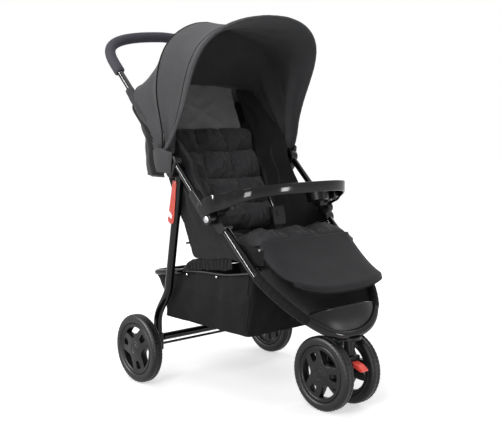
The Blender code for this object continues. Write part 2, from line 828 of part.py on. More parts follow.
def rim(label, centre, axis, radius):
    """A rim with a hub, three broad spokes and three windows between them."""
    half = TYRE_WIDTH / 2
    bore = AXLE_RADIUS + GAP
    profile = (
        (-half, bore),
        (half - CAP_WALL, bore),
        (half - CAP_WALL, 0),
        (half + 0.003, 0),
        (half + 0.003, HUB_RADIUS * 0.5),
        (half - 0.001, HUB_RADIUS * 0.62),
        (half - 0.001, HUB_RADIUS),
        (RIM_WEB / 2, HUB_RADIUS + 0.002),
        (RIM_WEB / 2, radius - 0.007),
        (half * 0.8, radius - 0.004),
        (half * 0.8, radius),
        (-half * 0.8, radius),
        (-half * 0.8, radius - 0.004),
        (-half, HUB_RADIUS - 0.004),
    )
    obj = turned("rim_" + label, centre, axis, profile, plastic(), WHEEL_SIDES)
    for k in range(SPOKES):
        cut(obj, window(centre, axis, radius, 2 * math.pi * k / SPOKES), "window_%d" % k)
    return obj


def window(centre, axis, radius, turn):
    """The cutter of one window between two spokes."""
    inner, outer = HUB_RADIUS + 0.008, radius - 0.011
    spread_in, spread_out = math.radians(36), math.radians(40)
    bm = bmesh.new()
    layers = []
    for x in (-0.1, 0.1):
        ring = []
        for size, spread, order in ((outer, spread_out, 1), (inner, spread_in, -1)):
            for i in range(5):
                angle = turn + order * spread * (i / 2 - 1)
                point = size * Vector((0, math.cos(angle), math.sin(angle)))
                ring.append(bm.verts.new(centre + axis * x + point))
        layers.append(ring)
    bm.faces.new(layers[0])
    bm.faces.new(layers[1])
    count = len(layers[0])
    for i in range(count):
        j = (i + 1) % count
        bm.faces.new((layers[0][i], layers[0][j], layers[1][j], layers[1][i]))
    return bm


def caster_cup():
    """The moulded cup under the bow that the front wheels swivel in."""
    centre = (CASTER_Y, CUP_BOTTOM)
    profile = (
        (0, PIN_RADIUS + GAP),
        (0, CUP_RADIUS - 0.002),
        (0.004, CUP_RADIUS),
        (0.040, CUP_RADIUS),
        (0.046, 0.033),
        (0.0535, 0.033),
        (0.0535, 0.018),
        (0.066, 0.016),
        (0.066, 0.0085),
        (0.041, 0.0085),
        (0.041, PIN_RADIUS + GAP),
    )
    obj = turned("caster_cup", place(0, centre), Vector((0, 0, 1)), profile, plastic(), 20)
    path = front_frame_clearance()
    combine_object(obj, path, "bow_seat")
    return obj


def front_frame_clearance():
    """A slightly fatter copy of the front tube, to cut a seat for it."""
    obj = solid_tube("bow_clearance", front_tube_path(), LEG_RADIUS + GAP, plastic())
    obj.hide_render = True
    obj.display_type = "WIRE"
    return obj


def combine_object(obj, cutter, name):
    """Cuts a helper object from a piece."""
    step = obj.modifiers.new(name, "BOOLEAN")
    step.operation = "DIFFERENCE"
    step.solver = "EXACT"
    step.object = cutter


def caster_fork():
    """The fork between the front wheels, its swivel pin, and the front axle."""
    axle_y = -WHEELBASE
    top = CUP_BOTTOM - PLAY
    outline = [
        Vector((CASTER_Y - 0.016, top)),
        Vector((CASTER_Y + 0.018, top)),
        Vector((axle_y + 0.016, WHEEL_RADIUS + 0.012)),
        Vector((axle_y + 0.016, WHEEL_RADIUS - 0.006)),
        Vector((axle_y + 0.006, WHEEL_RADIUS - 0.014)),
        Vector((axle_y - 0.010, WHEEL_RADIUS - 0.014)),
        Vector((CASTER_Y - 0.016, top - 0.030)),
    ]
    obj = plate("caster_fork", outline, -FORK_HALF, FORK_HALF, plastic())
    pin = rod_bmesh(place(0, (CASTER_Y, top - 0.005)), place(0, (CASTER_Y, CUP_BOTTOM + 0.039)), PIN_RADIUS)
    join(obj, pin, "swivel_pin")
    for label, sign in sides():
        ear = stadium((CASTER_Y - 0.012, LOCK_PIVOT.y), LOCK_PIVOT, 0.0065, 0.0045)
        inner = sign * (LOCK_HALF + GAP)
        join(obj, plate_bmesh(ear, inner, inner + sign * 0.004), "lock_ear_" + label)
    reach = LOCK_HALF + 0.003
    join(obj, rod_bmesh(place(-reach, LOCK_PIVOT), place(reach, LOCK_PIVOT), LOCK_PIN, 12), "lock_pin")
    reach = FRONT_TRACK / 2 - TYRE_WIDTH / 2 - PLAY
    axle = (axle_y, WHEEL_RADIUS)
    join(obj, rod_bmesh(place(-reach, axle), place(reach, axle), BOSS_RADIUS), "axle_boss")
    cut(obj, rod_bmesh(place(-BORE_FROM, axle), place(BORE_FROM, axle), AXLE_RADIUS + GAP), "axle_bore")
    return obj


def front_axle():
    end = FRONT_TRACK / 2 + TYRE_WIDTH / 2 - AXLE_SHORT
    axle = (-WHEELBASE, WHEEL_RADIUS)
    return rod("front_axle", place(-end, axle), place(end, axle), AXLE_RADIUS, steel())


def swivel_lock():
    """The red lever on the front of the fork that locks the swivel."""
    outline = [
        LOCK_PIVOT + Vector((0.0055, 0.004)),
        LOCK_PIVOT + Vector((0, 0.006)),
        LOCK_PIVOT + Vector((-0.020, 0.001)),
        LOCK_PIVOT + Vector((-0.036, -0.010)),
        LOCK_PIVOT + Vector((-0.037, -0.015)),
        LOCK_PIVOT + Vector((-0.030, -0.017)),
        LOCK_PIVOT + Vector((-0.012, -0.011)),
        LOCK_PIVOT + Vector((0, -0.006)),
        LOCK_PIVOT + Vector((0.0055, -0.004)),
    ]
    obj = plate("swivel_lock", outline, -LOCK_HALF, LOCK_HALF, red_plastic())
    cut(obj, rod_bmesh(place(-0.1, LOCK_PIVOT), place(0.1, LOCK_PIVOT), LOCK_PIN + GAP, 12), "pin_hole")
    return obj


def bow_at(x):
    """The point of the bow's centre line at a distance to the side."""
    path = front_tube_path()
    low = [(a, b) for a, b in zip(path, path[1:]) if a.x >= abs(x) >= b.x and b.x >= 0]
    start, end = low[-1]
    share = (start.x - abs(x)) / (start.x - end.x)
    point = start.lerp(end, share)
    return Vector((x, point.y, point.z))


def footplate():
    """The moulded foot rest that stands on the bow between the front legs."""
    rows, inner = [], []
    for share in (0.0, 0.5, 1.0):
        row, row_inner = [], []
        for i in range(17):
            x = FOOTPLATE_HALF * (i / 8 - 1)
            lift = LEG_RADIUS + FOOTPLATE_SEAT + FOOTPLATE_LIFT * (x / FOOTPLATE_HALF) ** 4
            base = bow_at(x) + Vector((0, -FOOTPLATE_WALL / 2, lift))
            rise = share * FOOTPLATE_HEIGHT * (1 - 0.35 * (x / FOOTPLATE_HALF) ** 4)
            point = base + Vector((0, 0.30 * rise, rise))
            row.append(point)
            row_inner.append(point + Vector((0, FOOTPLATE_WALL, 0)))
        rows.append(row)
        inner.append(row_inner)
    return sheet_solid("footplate", rows, inner, gloss())


def seat_line(share, height=0.0):
    """A point above the seat board's lower face, by share from front to rear."""
    along = (SEAT_REAR - SEAT_FRONT).normalized()
    up = Vector((-along.y, along.x))
    return SEAT_FRONT + share * (SEAT_REAR - SEAT_FRONT) + height * up


def seat_board():
    """The stiff board under the seat cushion."""
    outline = [seat_line(0), seat_line(1), seat_line(1, BOARD), seat_line(0, BOARD)]
    return plate("seat_board", outline, -(PANEL_IN - GAP), PANEL_IN - GAP, plastic())


def tufts(u, v, columns, rows):
    """The height, from 0 to 1, of a quilted pad at shares u and v across it."""
    across_wave = abs(math.sin(math.pi * columns * u)) ** 0.5
    along_wave = abs(math.sin(math.pi * rows * v)) ** 0.5
    return 0.45 + 0.55 * across_wave * along_wave


def pad(name, origin, along, up, half, length, thickness, columns, rows, made, corner=0.03, nu=15, nv=8):
    """A quilted pad: a flat back, a crowned and tufted face and drawn-in edges."""
    face, back = [], []
    for j in range(nv + 1):
        v = j / nv
        face_row, back_row = [], []
        for i in range(nu + 1):
            u = i / nu
            end = min(v, 1 - v) * length
            width = half - (corner - math.sqrt(max(0.0, corner**2 - max(0.0, corner - end) ** 2)))
            x = (2 * u - 1) * width
            rim_in = min(1.0, min(u, 1 - u) * 2 * half / 0.025, min(v, 1 - v) * length / 0.025)
            crown = 0.22 + 0.78 * math.sqrt(max(0.0, rim_in * (2 - rim_in)))
            height = thickness * crown * tufts(u, v, columns, rows)
            base = origin + v * length * along
            back_row.append(place(x, base))
            face_row.append(place(x, base + height * up))
        face.append(face_row)
        back.append(back_row)
    return sheet_solid(name, face, back, made)


def seat_cushion():
    """The quilted seat cushion, which lies on the board."""
    along = (SEAT_REAR - SEAT_FRONT).normalized()
    up = Vector((-along.y, along.x))
    origin = seat_line(0, BOARD + GAP)
    length = (SEAT_REAR - SEAT_FRONT).length - 0.030
    obj = pad("seat_cushion", origin, along, up, SEAT_HALF, length, CUSHION, 3, 2, fabric())
    low, high = buckle_point(-0.01), buckle_point(STRAP_LENGTH)
    slot = STRAP_THICK / 2 + FABRIC_GAP
    outline = [low - slot * along, low + slot * along, high + slot * along, high - slot * along]
    cut(obj, plate_bmesh(outline, -STRAP_WIDTH / 2 - FABRIC_GAP, STRAP_WIDTH / 2 + FABRIC_GAP), "strap_slot")
    return obj


def buckle_point(height):
    """A point above the seat board on the crotch strap's line."""
    return seat_line(STRAP_SHARE, BOARD + GAP + height)


def harness():
    """The crotch strap that stands in the seat cushion, and the buckle on its end."""
    low, high = buckle_point(0), buckle_point(STRAP_LENGTH)
    half = STRAP_THICK / 2
    along = (SEAT_REAR - SEAT_FRONT).normalized()
    strap = plate(
        "crotch_strap",
        [low - half * along, low + half * along, high + half * along, high - half * along],
        -STRAP_WIDTH / 2,
        STRAP_WIDTH / 2,
        fabric(),
    )
    top = buckle_point(STRAP_LENGTH - BUCKLE_LAP)
    end = buckle_point(STRAP_LENGTH - BUCKLE_LAP + BUCKLE_LENGTH)
    depth = BUCKLE_THICK / 2
    shell = [top - depth * along, top + depth * along, end + depth * along, end - depth * along]
    buckle = plate("harness_buckle", shell, -BUCKLE_WIDTH / 2, BUCKLE_WIDTH / 2, plastic())
    slot = half + GAP
    inside = buckle_point(STRAP_LENGTH + GAP)
    mouth = buckle_point(STRAP_LENGTH - BUCKLE_LAP - 0.01)
    hollow = [mouth - slot * along, mouth + slot * along, inside + slot * along, inside - slot * along]
    cut(buckle, plate_bmesh(hollow, -STRAP_WIDTH / 2 - GAP, STRAP_WIDTH / 2 + GAP), "strap_slot")
    centre = buckle_point(STRAP_LENGTH + 0.016)
    face = place(0, centre - depth * along)
    inward = place(0, along) - place(0, (0, 0))
    cut(buckle, rod_bmesh(face - 0.01 * inward, face + 0.0045 * inward, BUTTON_RADIUS + GAP), "button_bore")
    return [strap, buckle]


def buckle_button():
    """The release button in the front of the buckle."""
    along = (SEAT_REAR - SEAT_FRONT).normalized()
    inward = place(0, along) - place(0, (0, 0))
    face = place(0, buckle_point(STRAP_LENGTH + 0.016) - BUCKLE_THICK / 2 * along)
    return rod("buckle_button", face - 0.0015 * inward, face + 0.0022 * inward, BUTTON_RADIUS, red_plastic())


def tray_button(label, sign):
    """The button under a tray arm, in front of the peg's end, that lets the tray slide off."""
    point = tray_peg(sign, TRAY_BUTTON_AT)
    bottom = Vector((point.x, point.y, tray_bottom(point.y - REAR_AXLE_Y) + TRAY_SOCKET_LIFT))
    low, high = bottom - Vector((0, 0, 0.003)), bottom + Vector((0, 0, 0.0045))
    return rod("tray_button_" + label, low, high, TRAY_BUTTON_RADIUS, plastic(), 14)


def back_axes():
    """The backrest's direction and the direction its face looks in."""
    along = (BACK_TOP - BACK_BASE).normalized()
    return along, Vector((-along.y, along.x))


def backrest():
    """The backrest board and its quilted cushion."""
    along, face = back_axes()
    length = (BACK_TOP - BACK_BASE).length
    start = BACK_BASE
    outline = [start, start + length * along, start + length * along + BOARD * face, start + BOARD * face]
    board = hinge_board(plate("backrest_board", outline, -BACK_HALF, BACK_HALF, plastic()), BACK_BASE)
    origin = start + (BOARD + GAP) * face + 0.020 * along
    length -= 0.020
    made = fabric()
    cushion = pad("backrest_cushion", origin, along, face, BACK_HALF, length, CUSHION, 3, 4, made, 0.05, nv=16)
    return [board, cushion]


def leg_rest():
    """The leg rest board, hinged on its rod, and the smooth pad over it."""
    along = Vector((-math.cos(LEG_REST_DROP), -math.sin(LEG_REST_DROP)))
    up = Vector((along.y, -along.x))
    board_start = LEG_REST_PIVOT + 0.004 * along - 0.0045 * up
    face, back = [], []
    steps = 5
    for j in range(steps + 1):
        v = j / steps
        face_row, back_row = [], []
        for i in range(9):
            u = 2 * i / 8 - 1
            reach = LEG_REST_LENGTH * (1 - 0.16 * abs(u) ** 3)
            x = u * SEAT_HALF * (1 - 0.10 * v**3)
            base = board_start + v * reach * along
            back_row.append(place(x, base - 0.004 * up))
            face_row.append(place(x, base))
        face.append(face_row)
        back.append(back_row)
    board = sheet_solid("leg_rest_board", face, back, plastic())
    return [hinge_board(board, LEG_REST_PIVOT), leg_rest_pad(along, up, board_start)]


def leg_rest_pad(along, up, board_start):
    """The smooth padded apron on the leg rest board."""
    face, back = [], []
    steps = 8
    start = board_start + (KNUCKLE + 0.006) * along + GAP * up
    length = LEG_REST_LENGTH - KNUCKLE - 0.004
    for j in range(steps + 1):
        v = j / steps
        face_row, back_row = [], []
        for i in range(13):
            u = 2 * i / 12 - 1
            reach = length * (1 - 0.16 * abs(u) ** 3)
            x = u * (SEAT_HALF + 0.006) * (1 - 0.10 * v**3)
            base = start + v * reach * along
            edge = min(1.0, (1 - abs(u)) * SEAT_HALF / 0.02, v * length / 0.012, (1 - v) * length / 0.02)
            height = LEG_REST_PAD * (0.25 + 0.75 * math.sqrt(max(0.0, edge * (2 - edge))))
            back_row.append(place(x, base))
            face_row.append(place(x, base + height * up))
        face.append(face_row)
        back.append(back_row)
    return sheet_solid("leg_rest_pad", face, back, fabric())


def hinge_rod(name, pivot):
    """A rod that a board turns on, held at both ends by the side panels."""
    reach = PANEL_IN - GAP
    return rod(name, place(-reach, pivot), place(reach, pivot), PIN_ROD, steel(), 12)


def hinge_board(board, pivot):
    """Joins a knuckle on to a board, and bores it for its rod."""
    join(board, rod_bmesh(place(-SEAT_HALF, pivot), place(SEAT_HALF, pivot), KNUCKLE, 12), "knuckle")
    cut(board, rod_bmesh(place(-0.3, pivot), place(0.3, pivot), PIN_ROD + GAP, 12), "rod_bore")
    return board


def side_panel(label, sign):
    """The cloth side of the seat, which hangs it from the fold joint."""
    outline = [
        LEG_REST_PIVOT + Vector((-0.012, -0.004)),
        LEG_REST_PIVOT + Vector((-0.006, 0.014)),
        Vector((-0.335, 0.505)),
        Vector((-0.300, 0.535)),
        Vector((-0.205, 0.560)),
        Vector((-0.120, 0.640)),
        Vector((-0.040, 0.760)),
        Vector((-0.010, 0.760)),
        Vector((-0.060, 0.620)),
        Vector((-0.106, 0.500)),
        BACK_BASE + Vector((0.014, -0.012)),
        SEAT_REAR + Vector((-0.010, -0.004)),
        SEAT_FRONT + Vector((0, -0.004)),
    ]
    return plate("side_panel_" + label, outline, sign * PANEL_IN, sign * (PANEL_IN + PANEL_THICK), fabric())


def calf_panel():
    """The hanging cloth between the leg rest and the footplate, held by the rod behind its top hem."""
    rows, back = [], []
    hem = LINK_PIVOT + Vector((-ROD_RADIUS - GAP - PANEL_THICK, 0.012))
    low_hem = hem + Vector((0, -0.020))
    bottom = Vector((-0.498, 0.262))
    for j in range(7):
        v = max(0, j - 1) / 5
        row, row_back = [], []
        for i in range(9):
            u = 2 * i / 8 - 1
            base = hem if j == 0 else low_hem + v * (bottom - low_hem)
            sag = 0.010 * math.sin(math.pi * v) * (1 - u * u)
            x = u * (0.160 - 0.030 * v)
            row.append(place(x, base + Vector((-sag, -sag))))
            row_back.append(place(x, base + Vector((PANEL_THICK - sag, -sag))))
        rows.append(row)
        back.append(row_back)
    return sheet_solid("calf_panel", rows, back, fabric())


def tray_top(y):
    """The height of the tray's top edge, which rises to the front."""
    return TRAY_TOP + TRAY_LIFT * (TRAY_REAR - y)


def tray_bottom(y):
    """The height of the tray's lower edge: a shallow lip in front, deep arms behind."""
    share = min(1.0, max(0.0, (y - TRAY_FRONT) / (FOLD_PIVOT.x + 0.010 - TRAY_FRONT)))
    return tray_top(y) - TRAY_LIP - 0.034 * share**1.6


def tray_plan(turn, inset):
    """The tray's outer curve in plan, moved in by an inset."""
    half = TRAY_HALF - inset
    reach = TRAY_REAR - TRAY_FRONT - inset
    power = 2 / TRAY_EXPONENT
    x = half * math.copysign(abs(math.sin(turn)) ** power, math.sin(turn))
    y = TRAY_REAR - reach * abs(math.cos(turn)) ** power
    return x, y


def tray():
    """The glossy tray: a curved front lip that runs back into two arms, and a deck behind it."""
    outer, inner = [], []
    count = 28
    for i in range(count + 1):
        turn = math.pi * (i / count - 0.5)
        column_out, column_in = [], []
        for share in (0.0, 0.5, 1.0):
            x, y = tray_plan(turn, 0)
            height = tray_top(y) + share * (tray_bottom(y) - tray_top(y))
            column_out.append(place(x, (y, height)))
            x2, y2 = tray_plan(turn, TRAY_WALL)
            column_in.append(place(x2, (y2, height)))
        outer.append(column_out)
        inner.append(column_in)
    obj = sheet_solid("tray", outer, inner, gloss())
    join(obj, tray_deck(), "deck")
    for label, sign in sides():
        join(obj, tray_socket(sign), "socket_" + label)
    normal = Vector((0, TRAY_LIFT, 1)).normalized()
    centre = place(CUP_X, (CUP_Y, tray_top(CUP_Y) - DECK_DROP))
    hole = rod_bmesh(centre - 0.02 * normal, centre + 0.02 * normal, CUP_HOLDER_RADIUS + 2 * GAP, 24)
    cut(obj, hole, "cup_hole")
    clear_joints(obj)
    return obj


def clear_joints(obj):
    """Cuts the tray's arms back to clear the fold housings."""
    for label, sign in sides():
        outline = stadium(FOLD_PIVOT, handle_point(0.120), 0.0165 + 0.0012)
        outline = [p for p in outline if p.y > FOLD_PIVOT.y - 0.005 and p.x < FOLD_PIVOT.x + 0.085]
        below = [Vector((outline[-1].x, 0.45)), Vector((outline[0].x, 0.45))]
        room = plate_bmesh(outline + below, sign * (HOUSING_IN - 0.002), sign * BORE_TO)
        cut(obj, room, "clear_housing_" + label)
        peg = rod_bmesh(tray_peg(sign, -0.02), tray_peg(sign, TRAY_PEG + 0.002), TRAY_PEG_RADIUS + GAP, 16)
        cut(obj, peg, "peg_bore_" + label)
        point = tray_peg(sign, TRAY_BUTTON_AT)
        low = Vector((point.x, point.y, tray_bottom(point.y - REAR_AXLE_Y) + TRAY_SOCKET_LIFT - 0.01))
        bore = rod_bmesh(low, low + Vector((0, 0, 0.0185)), TRAY_BUTTON_RADIUS + GAP)
        cut(obj, bore, "button_bore_" + label)


def tray_peg(sign, distance):
    """A point along the peg that a tray arm slides on."""
    along = Vector((-1, TRAY_LIFT)).normalized()
    return place(sign * LEG_X, TRAY_PEG_START + distance * along)


def tray_deck():
    """The thin sloping deck inside the tray's lip."""
    top, bottom = [], []
    drop = DECK_DROP
    for i in range(19):
        turn = math.pi * (i / 18 - 0.5) * 0.94
        x, y = tray_plan(turn, TRAY_WALL * 0.5)
        rear = TRAY_REAR - 0.072 + 0.040 * (abs(x) / TRAY_HALF) ** 2
        rear = max(rear, y + 0.004)
        row_top, row_bottom = [], []
        for share in (0.0, 0.5, 1.0):
            at = y + share * (rear - y)
            row_top.append(place(x, (at, tray_top(at) - drop)))
            row_bottom.append(place(x, (at, tray_top(at) - drop - 0.0035)))
        top.append(row_top)
        bottom.append(row_bottom)
    bm = bmesh.new()
    grids = [[[bm.verts.new(p) for p in row] for row in grid] for grid in (top, bottom)]
    rows, columns = len(top), len(top[0])
    for r in range(rows - 1):
        for c in range(columns - 1):
            for grid in grids:
                bm.faces.new((grid[r][c], grid[r][c + 1], grid[r + 1][c + 1], grid[r + 1][c]))
    edge = [(0, c) for c in range(columns)] + [(r, columns - 1) for r in range(1, rows)]
    edge += [(rows - 1, c) for c in range(columns - 2, -1, -1)] + [(r, 0) for r in range(rows - 2, 0, -1)]
    for (r, c), (r2, c2) in zip(edge, edge[1:] + edge[:1]):
        bm.faces.new((grids[0][r][c], grids[0][r2][c2], grids[1][r2][c2], grids[1][r][c]))
    return bm


def tray_socket(sign):
    """The block inside a tray arm that plugs onto the front joint."""
    y = TRAY_PEG_START.x - 0.012
    front = y - TRAY_SOCKET
    outline = [
        Vector((y, tray_top(y) - 0.004)),
        Vector((front, tray_top(front) - 0.004)),
        Vector((front, tray_bottom(front) + TRAY_SOCKET_LIFT)),
        Vector((y, tray_bottom(y) + TRAY_SOCKET_LIFT)),
    ]
    return plate_bmesh(outline, sign * (LEG_X - 0.010), sign * TRAY_SOCKET_X)


def cup_holder():
    """The round cup well set in the tray's deck."""
    normal = Vector((0, TRAY_LIFT, 1)).normalized()
    radius = CUP_HOLDER_RADIUS
    profile = (
        (0.0, radius + 0.004),
        (0.0025, radius + 0.004),
        (0.0025, radius - 0.003),
        (-CUP_HOLDER_DEPTH + 0.003, radius - 0.007),
        (-CUP_HOLDER_DEPTH + 0.003, 0),
        (-CUP_HOLDER_DEPTH, 0),
        (-CUP_HOLDER_DEPTH, radius - 0.004),
        (0.0, radius),
    )
    start = place(CUP_X, (CUP_Y, tray_top(CUP_Y) - DECK_DROP)) + GAP * normal
    return turned("cup_holder", start, normal, profile, gloss(), 24)


def resample(points, count):
    """Points at even steps along a path."""
    lengths = [(b - a).length for a, b in zip(points, points[1:])]
    step = sum(lengths) / count
    made, index, used = [points[0]], 0, 0.0
    for i in range(1, count):
        target = i * step
        while used + lengths[index] < target:
            used += lengths[index]
            index += 1
        made.append(points[index].lerp(points[index + 1], (target - used) / lengths[index]))
    return made + [points[-1]]


def bow_path(bends, steps):
    """A bow from the (x, y, z) bends of its left half, ending in the middle."""
    return mirrored(resample([place(x, (y, z)) for x, y, z in bends], steps))


def handle_y(z):
    """Where the handle tube's axis is at a height."""
    return FOLD_PIVOT.x + (z - FOLD_PIVOT.y) / math.tan(HANDLE_ANGLE)


def rear_edge_curve(steps):
    """The rear edge of the canopy roof, which runs up outside the handle and across in front of it."""
    side = MID_BOW_X + BOW_RADIUS
    low = [place(side, (handle_y(z) - 0.004, z)) for z in (0.712, 0.760, 0.800)]
    over = bezier(
        [
            place(side, (handle_y(0.800) - 0.004, 0.800)),
            place(side, (0.022, 0.838)),
            place(0.225, (0.010, 0.872)),
            place(0.160, (0.050, 0.890)),
            place(0.080, (0.058, 0.893)),
            place(0, (0.058, 0.893)),
        ],
        steps - 3,
        ends=False,
    )
    half = low + over
    return mirrored(half)


def loft(first, second, rows, start, stop, belly=0.0):
    """A grid between two curves of as many points, pushed out in its middle."""
    grid = []
    for j in range(rows + 1):
        share = start + (stop - start) * j / rows
        grid.append([a.lerp(b, share) for a, b in zip(first, second)])
    if belly:
        normals = grid_normals(grid)
        for j, row in enumerate(grid):
            lift = belly * math.sin(math.pi * j / rows)
            for i, point in enumerate(row):
                row[i] = point + lift * normals[j][i] * (1 if normals[j][i].z > 0 else -1)
    return grid


def canopy():
    """The canopy's two bows, and its cloth in three pieces."""
    steps = 12
    rim_line, rib_line = bow_path(FRONT_BOW, steps), bow_path(MID_BOW, steps)
    rear_line = rear_edge_curve(steps)
    front = solid_tube("canopy_front_bow", rim_line, BOW_RADIUS, painted(), 1)
    middle = solid_tube("canopy_mid_bow", rib_line, BOW_RADIUS, painted(), 1)
    for bow, x in ((front, FRONT_BOW_X), (middle, MID_BOW_X)):
        for label, sign in sides():
            eye = solid_eye(sign, x)
            join(bow, eye, "eye_" + label)
            drill_bolt(bow, sign, CANOPY_PIVOT, SPIGOT_RADIUS, "eye_hole_" + label)
    inner = BOW_RADIUS + FABRIC_GAP
    trim = slice(2, 2 * steps - 1)
    grid = loft(rim_line[trim], rib_line[trim], 4, 0.0, 1.0 - SEAM_SHARE)
    roof_front = skin("canopy_front_panel", grid, inner, FABRIC, canopy_cloth())
    trim = slice(1, 2 * steps)
    grid = loft(rib_line[trim], rear_line[trim], 4, SEAM_SHARE, 1.0)
    roof_rear = skin("canopy_rear_panel", grid, inner, FABRIC, canopy_cloth())
    return front, middle, roof_front, roof_rear


def solid_eye(sign, x):
    """The flat round eye on the end of a bow."""
    half = BOW_RADIUS - 0.0001
    return rod_bmesh(place(sign * (x - half), CANOPY_PIVOT), place(sign * (x + half), CANOPY_PIVOT), 0.0065)


def canopy_skirt():
    """The cloth behind the seat, which closes the canopy's back and sides."""
    side = HANDLE_X + HANDLE_RADIUS + GAP + FABRIC
    grid = []
    for z, corner, back in SKIRT_LEVELS:
        front = max(handle_y(z) + 0.004, SKIRT_FRONT)
        half = [
            place(side, (front, z)),
            place(side, (front + 0.5 * (corner - 0.012 - front), z)),
            place(side, (corner - 0.012, z)),
            place(side - 0.006, (corner, z)),
            place(side - 0.022, (corner + 0.25 * (back - corner), z)),
            place(side - 0.070, (corner + 0.75 * (back - corner), z)),
            place(side - 0.150, (back, z)),
            place(0, (back, z)),
        ]
        grid.append(mirrored(half))
    inner = [[p + outward_skirt(p) * -FABRIC for p in row] for row in grid]
    return sheet_solid("canopy_skirt", grid, inner, canopy_cloth())


def outward_skirt(point):
    """The direction away from the inside of the skirt, level with the ground."""
    centre = Vector((0, REAR_AXLE_Y - 0.18, point.z))
    away = point - centre
    if abs(point.x) > HANDLE_X + HANDLE_RADIUS:
        return Vector((math.copysign(1, point.x), 0, 0))
    if abs(point.x) > HANDLE_X - HANDLE_RADIUS:
        return Vector((math.copysign(1, point.x), 0.8, 0)).normalized()
    return Vector((0, 1, 0)) if away.y > 0 else away.normalized()


def basket():
    """The cloth basket: four walls and a floor, open at the top, hung from the lower link."""
    front_top, front_floor = (BASKET_FRONT, 0.3800), (BASKET_FRONT + 0.004, BASKET_FLOOR)
    rear_floor, rear_top = (-0.045, BASKET_FLOOR), (-0.007, 0.3234)
    edge = [(-0.080, 0.3345), (-0.108, 0.3400), (-0.150, 0.3500), (-0.191, 0.3570), (-0.300, 0.3620)]
    outer = [front_top, front_floor, rear_floor, rear_top] + edge
    obj = plate("basket", [Vector(p) for p in outer], -BASKET_HALF, BASKET_HALF, fabric())
    wall = BASKET_WALL
    hollow = [
        (front_top[0] + wall, 0.5),
        (front_floor[0] + wall, BASKET_FLOOR + wall),
        (rear_floor[0] - wall, BASKET_FLOOR + wall),
        (rear_top[0] - wall - 0.001, rear_top[1]),
        (rear_top[0] - wall - 0.001, 0.5),
    ]
    cut(obj, plate_bmesh([Vector(p) for p in hollow], -(BASKET_HALF - wall), BASKET_HALF - wall), "hollow")
    return obj


def build_all():
    """Makes every piece and hangs the moving ones on empties at their axes."""
    front_frame()
    for label, sign in sides():
        front_joint(label, sign)
        fold_bolt(label, sign)
        side_panel(label, sign)
    footplate()
    caster_cup()
    seat_cross_rod()
    seat_board()
    seat_cushion()
    hinge_rod("leg_rest_rod", LEG_REST_PIVOT)
    hinge_rod("recline_rod", BACK_BASE)
    calf_panel()

    fold = anchor("fold_axis", place(0, FOLD_PIVOT))
    bow_front, bow_mid, roof_front, roof_rear = canopy()
    canopy_axis = anchor("canopy_axis", place(0, CANOPY_PIVOT))
    carry(canopy_axis, [bow_front, bow_mid, roof_front])
    carry(fold, handle() + [roof_rear, canopy_skirt(), canopy_axis])

    legs = anchor("rear_leg_axis", place(0, LEG_PIVOT))
    carry(legs, rear_frame())
    carry(fold, [legs])
    brake_axis = anchor("brake_axis", place(0, (BRAKE_Y, BRAKE_HEIGHT)))
    carry(brake_axis, [brake()])
    hook_axis = anchor("hook_axis", place(0, hook_pivot()))
    carry(hook_axis, [fold_hook()])
    carry(legs, [brake_axis, hook_axis])
    for label, sign in sides():
        x = sign * REAR_TRACK / 2
        axis = anchor("rear_wheel_axis_" + label, place(x, (0, WHEEL_RADIUS)))
        carry(axis, wheel("rear_" + label, x, 0, sign))
        carry(legs, [axis])

    carry(anchor("link_axis", place(0, LINK_PIVOT)), [lower_link(), basket()])

    caster = anchor("caster_axis", place(0, (CASTER_Y, CUP_BOTTOM)))
    carry(caster, [caster_fork(), front_axle()])
    lock = anchor("swivel_lock_axis", place(0, LOCK_PIVOT))
    carry(lock, [swivel_lock()])
    carry(caster, [lock])
    for label, sign in sides():
        x = sign * FRONT_TRACK / 2
        axis = anchor("front_wheel_axis_" + label, place(x, (-WHEELBASE, WHEEL_RADIUS)))
        carry(axis, wheel("front_" + label, x, -WHEELBASE, sign))
        carry(caster, [axis])

    carry(anchor("recline_axis", place(0, BACK_BASE)), backrest())
    carry(anchor("leg_rest_axis", place(0, LEG_REST_PIVOT)), leg_rest())
    tray()
    cup_holder()
    harness()
    buckle_button()
    for label, sign in sides():
        tray_button(label, sign)


def clear_scene():
    for obj in list(bpy.data.objects):
        bpy.data.objects.remove(obj)


clear_scene()
build_all()
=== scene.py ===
"""The looks of a three-wheeled baby stroller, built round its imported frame.

Units are metres, +Z is up, -Y is the front, +X is the child's left.
Side-view points are (y, z) pairs measured from the ground point under the rear axle.
"""
from math import atan2, comb, copysign, cos, exp, pi, radians, sin, sqrt, tan, tau

import bmesh
import bpy
from mathutils import Matrix, Vector, noise

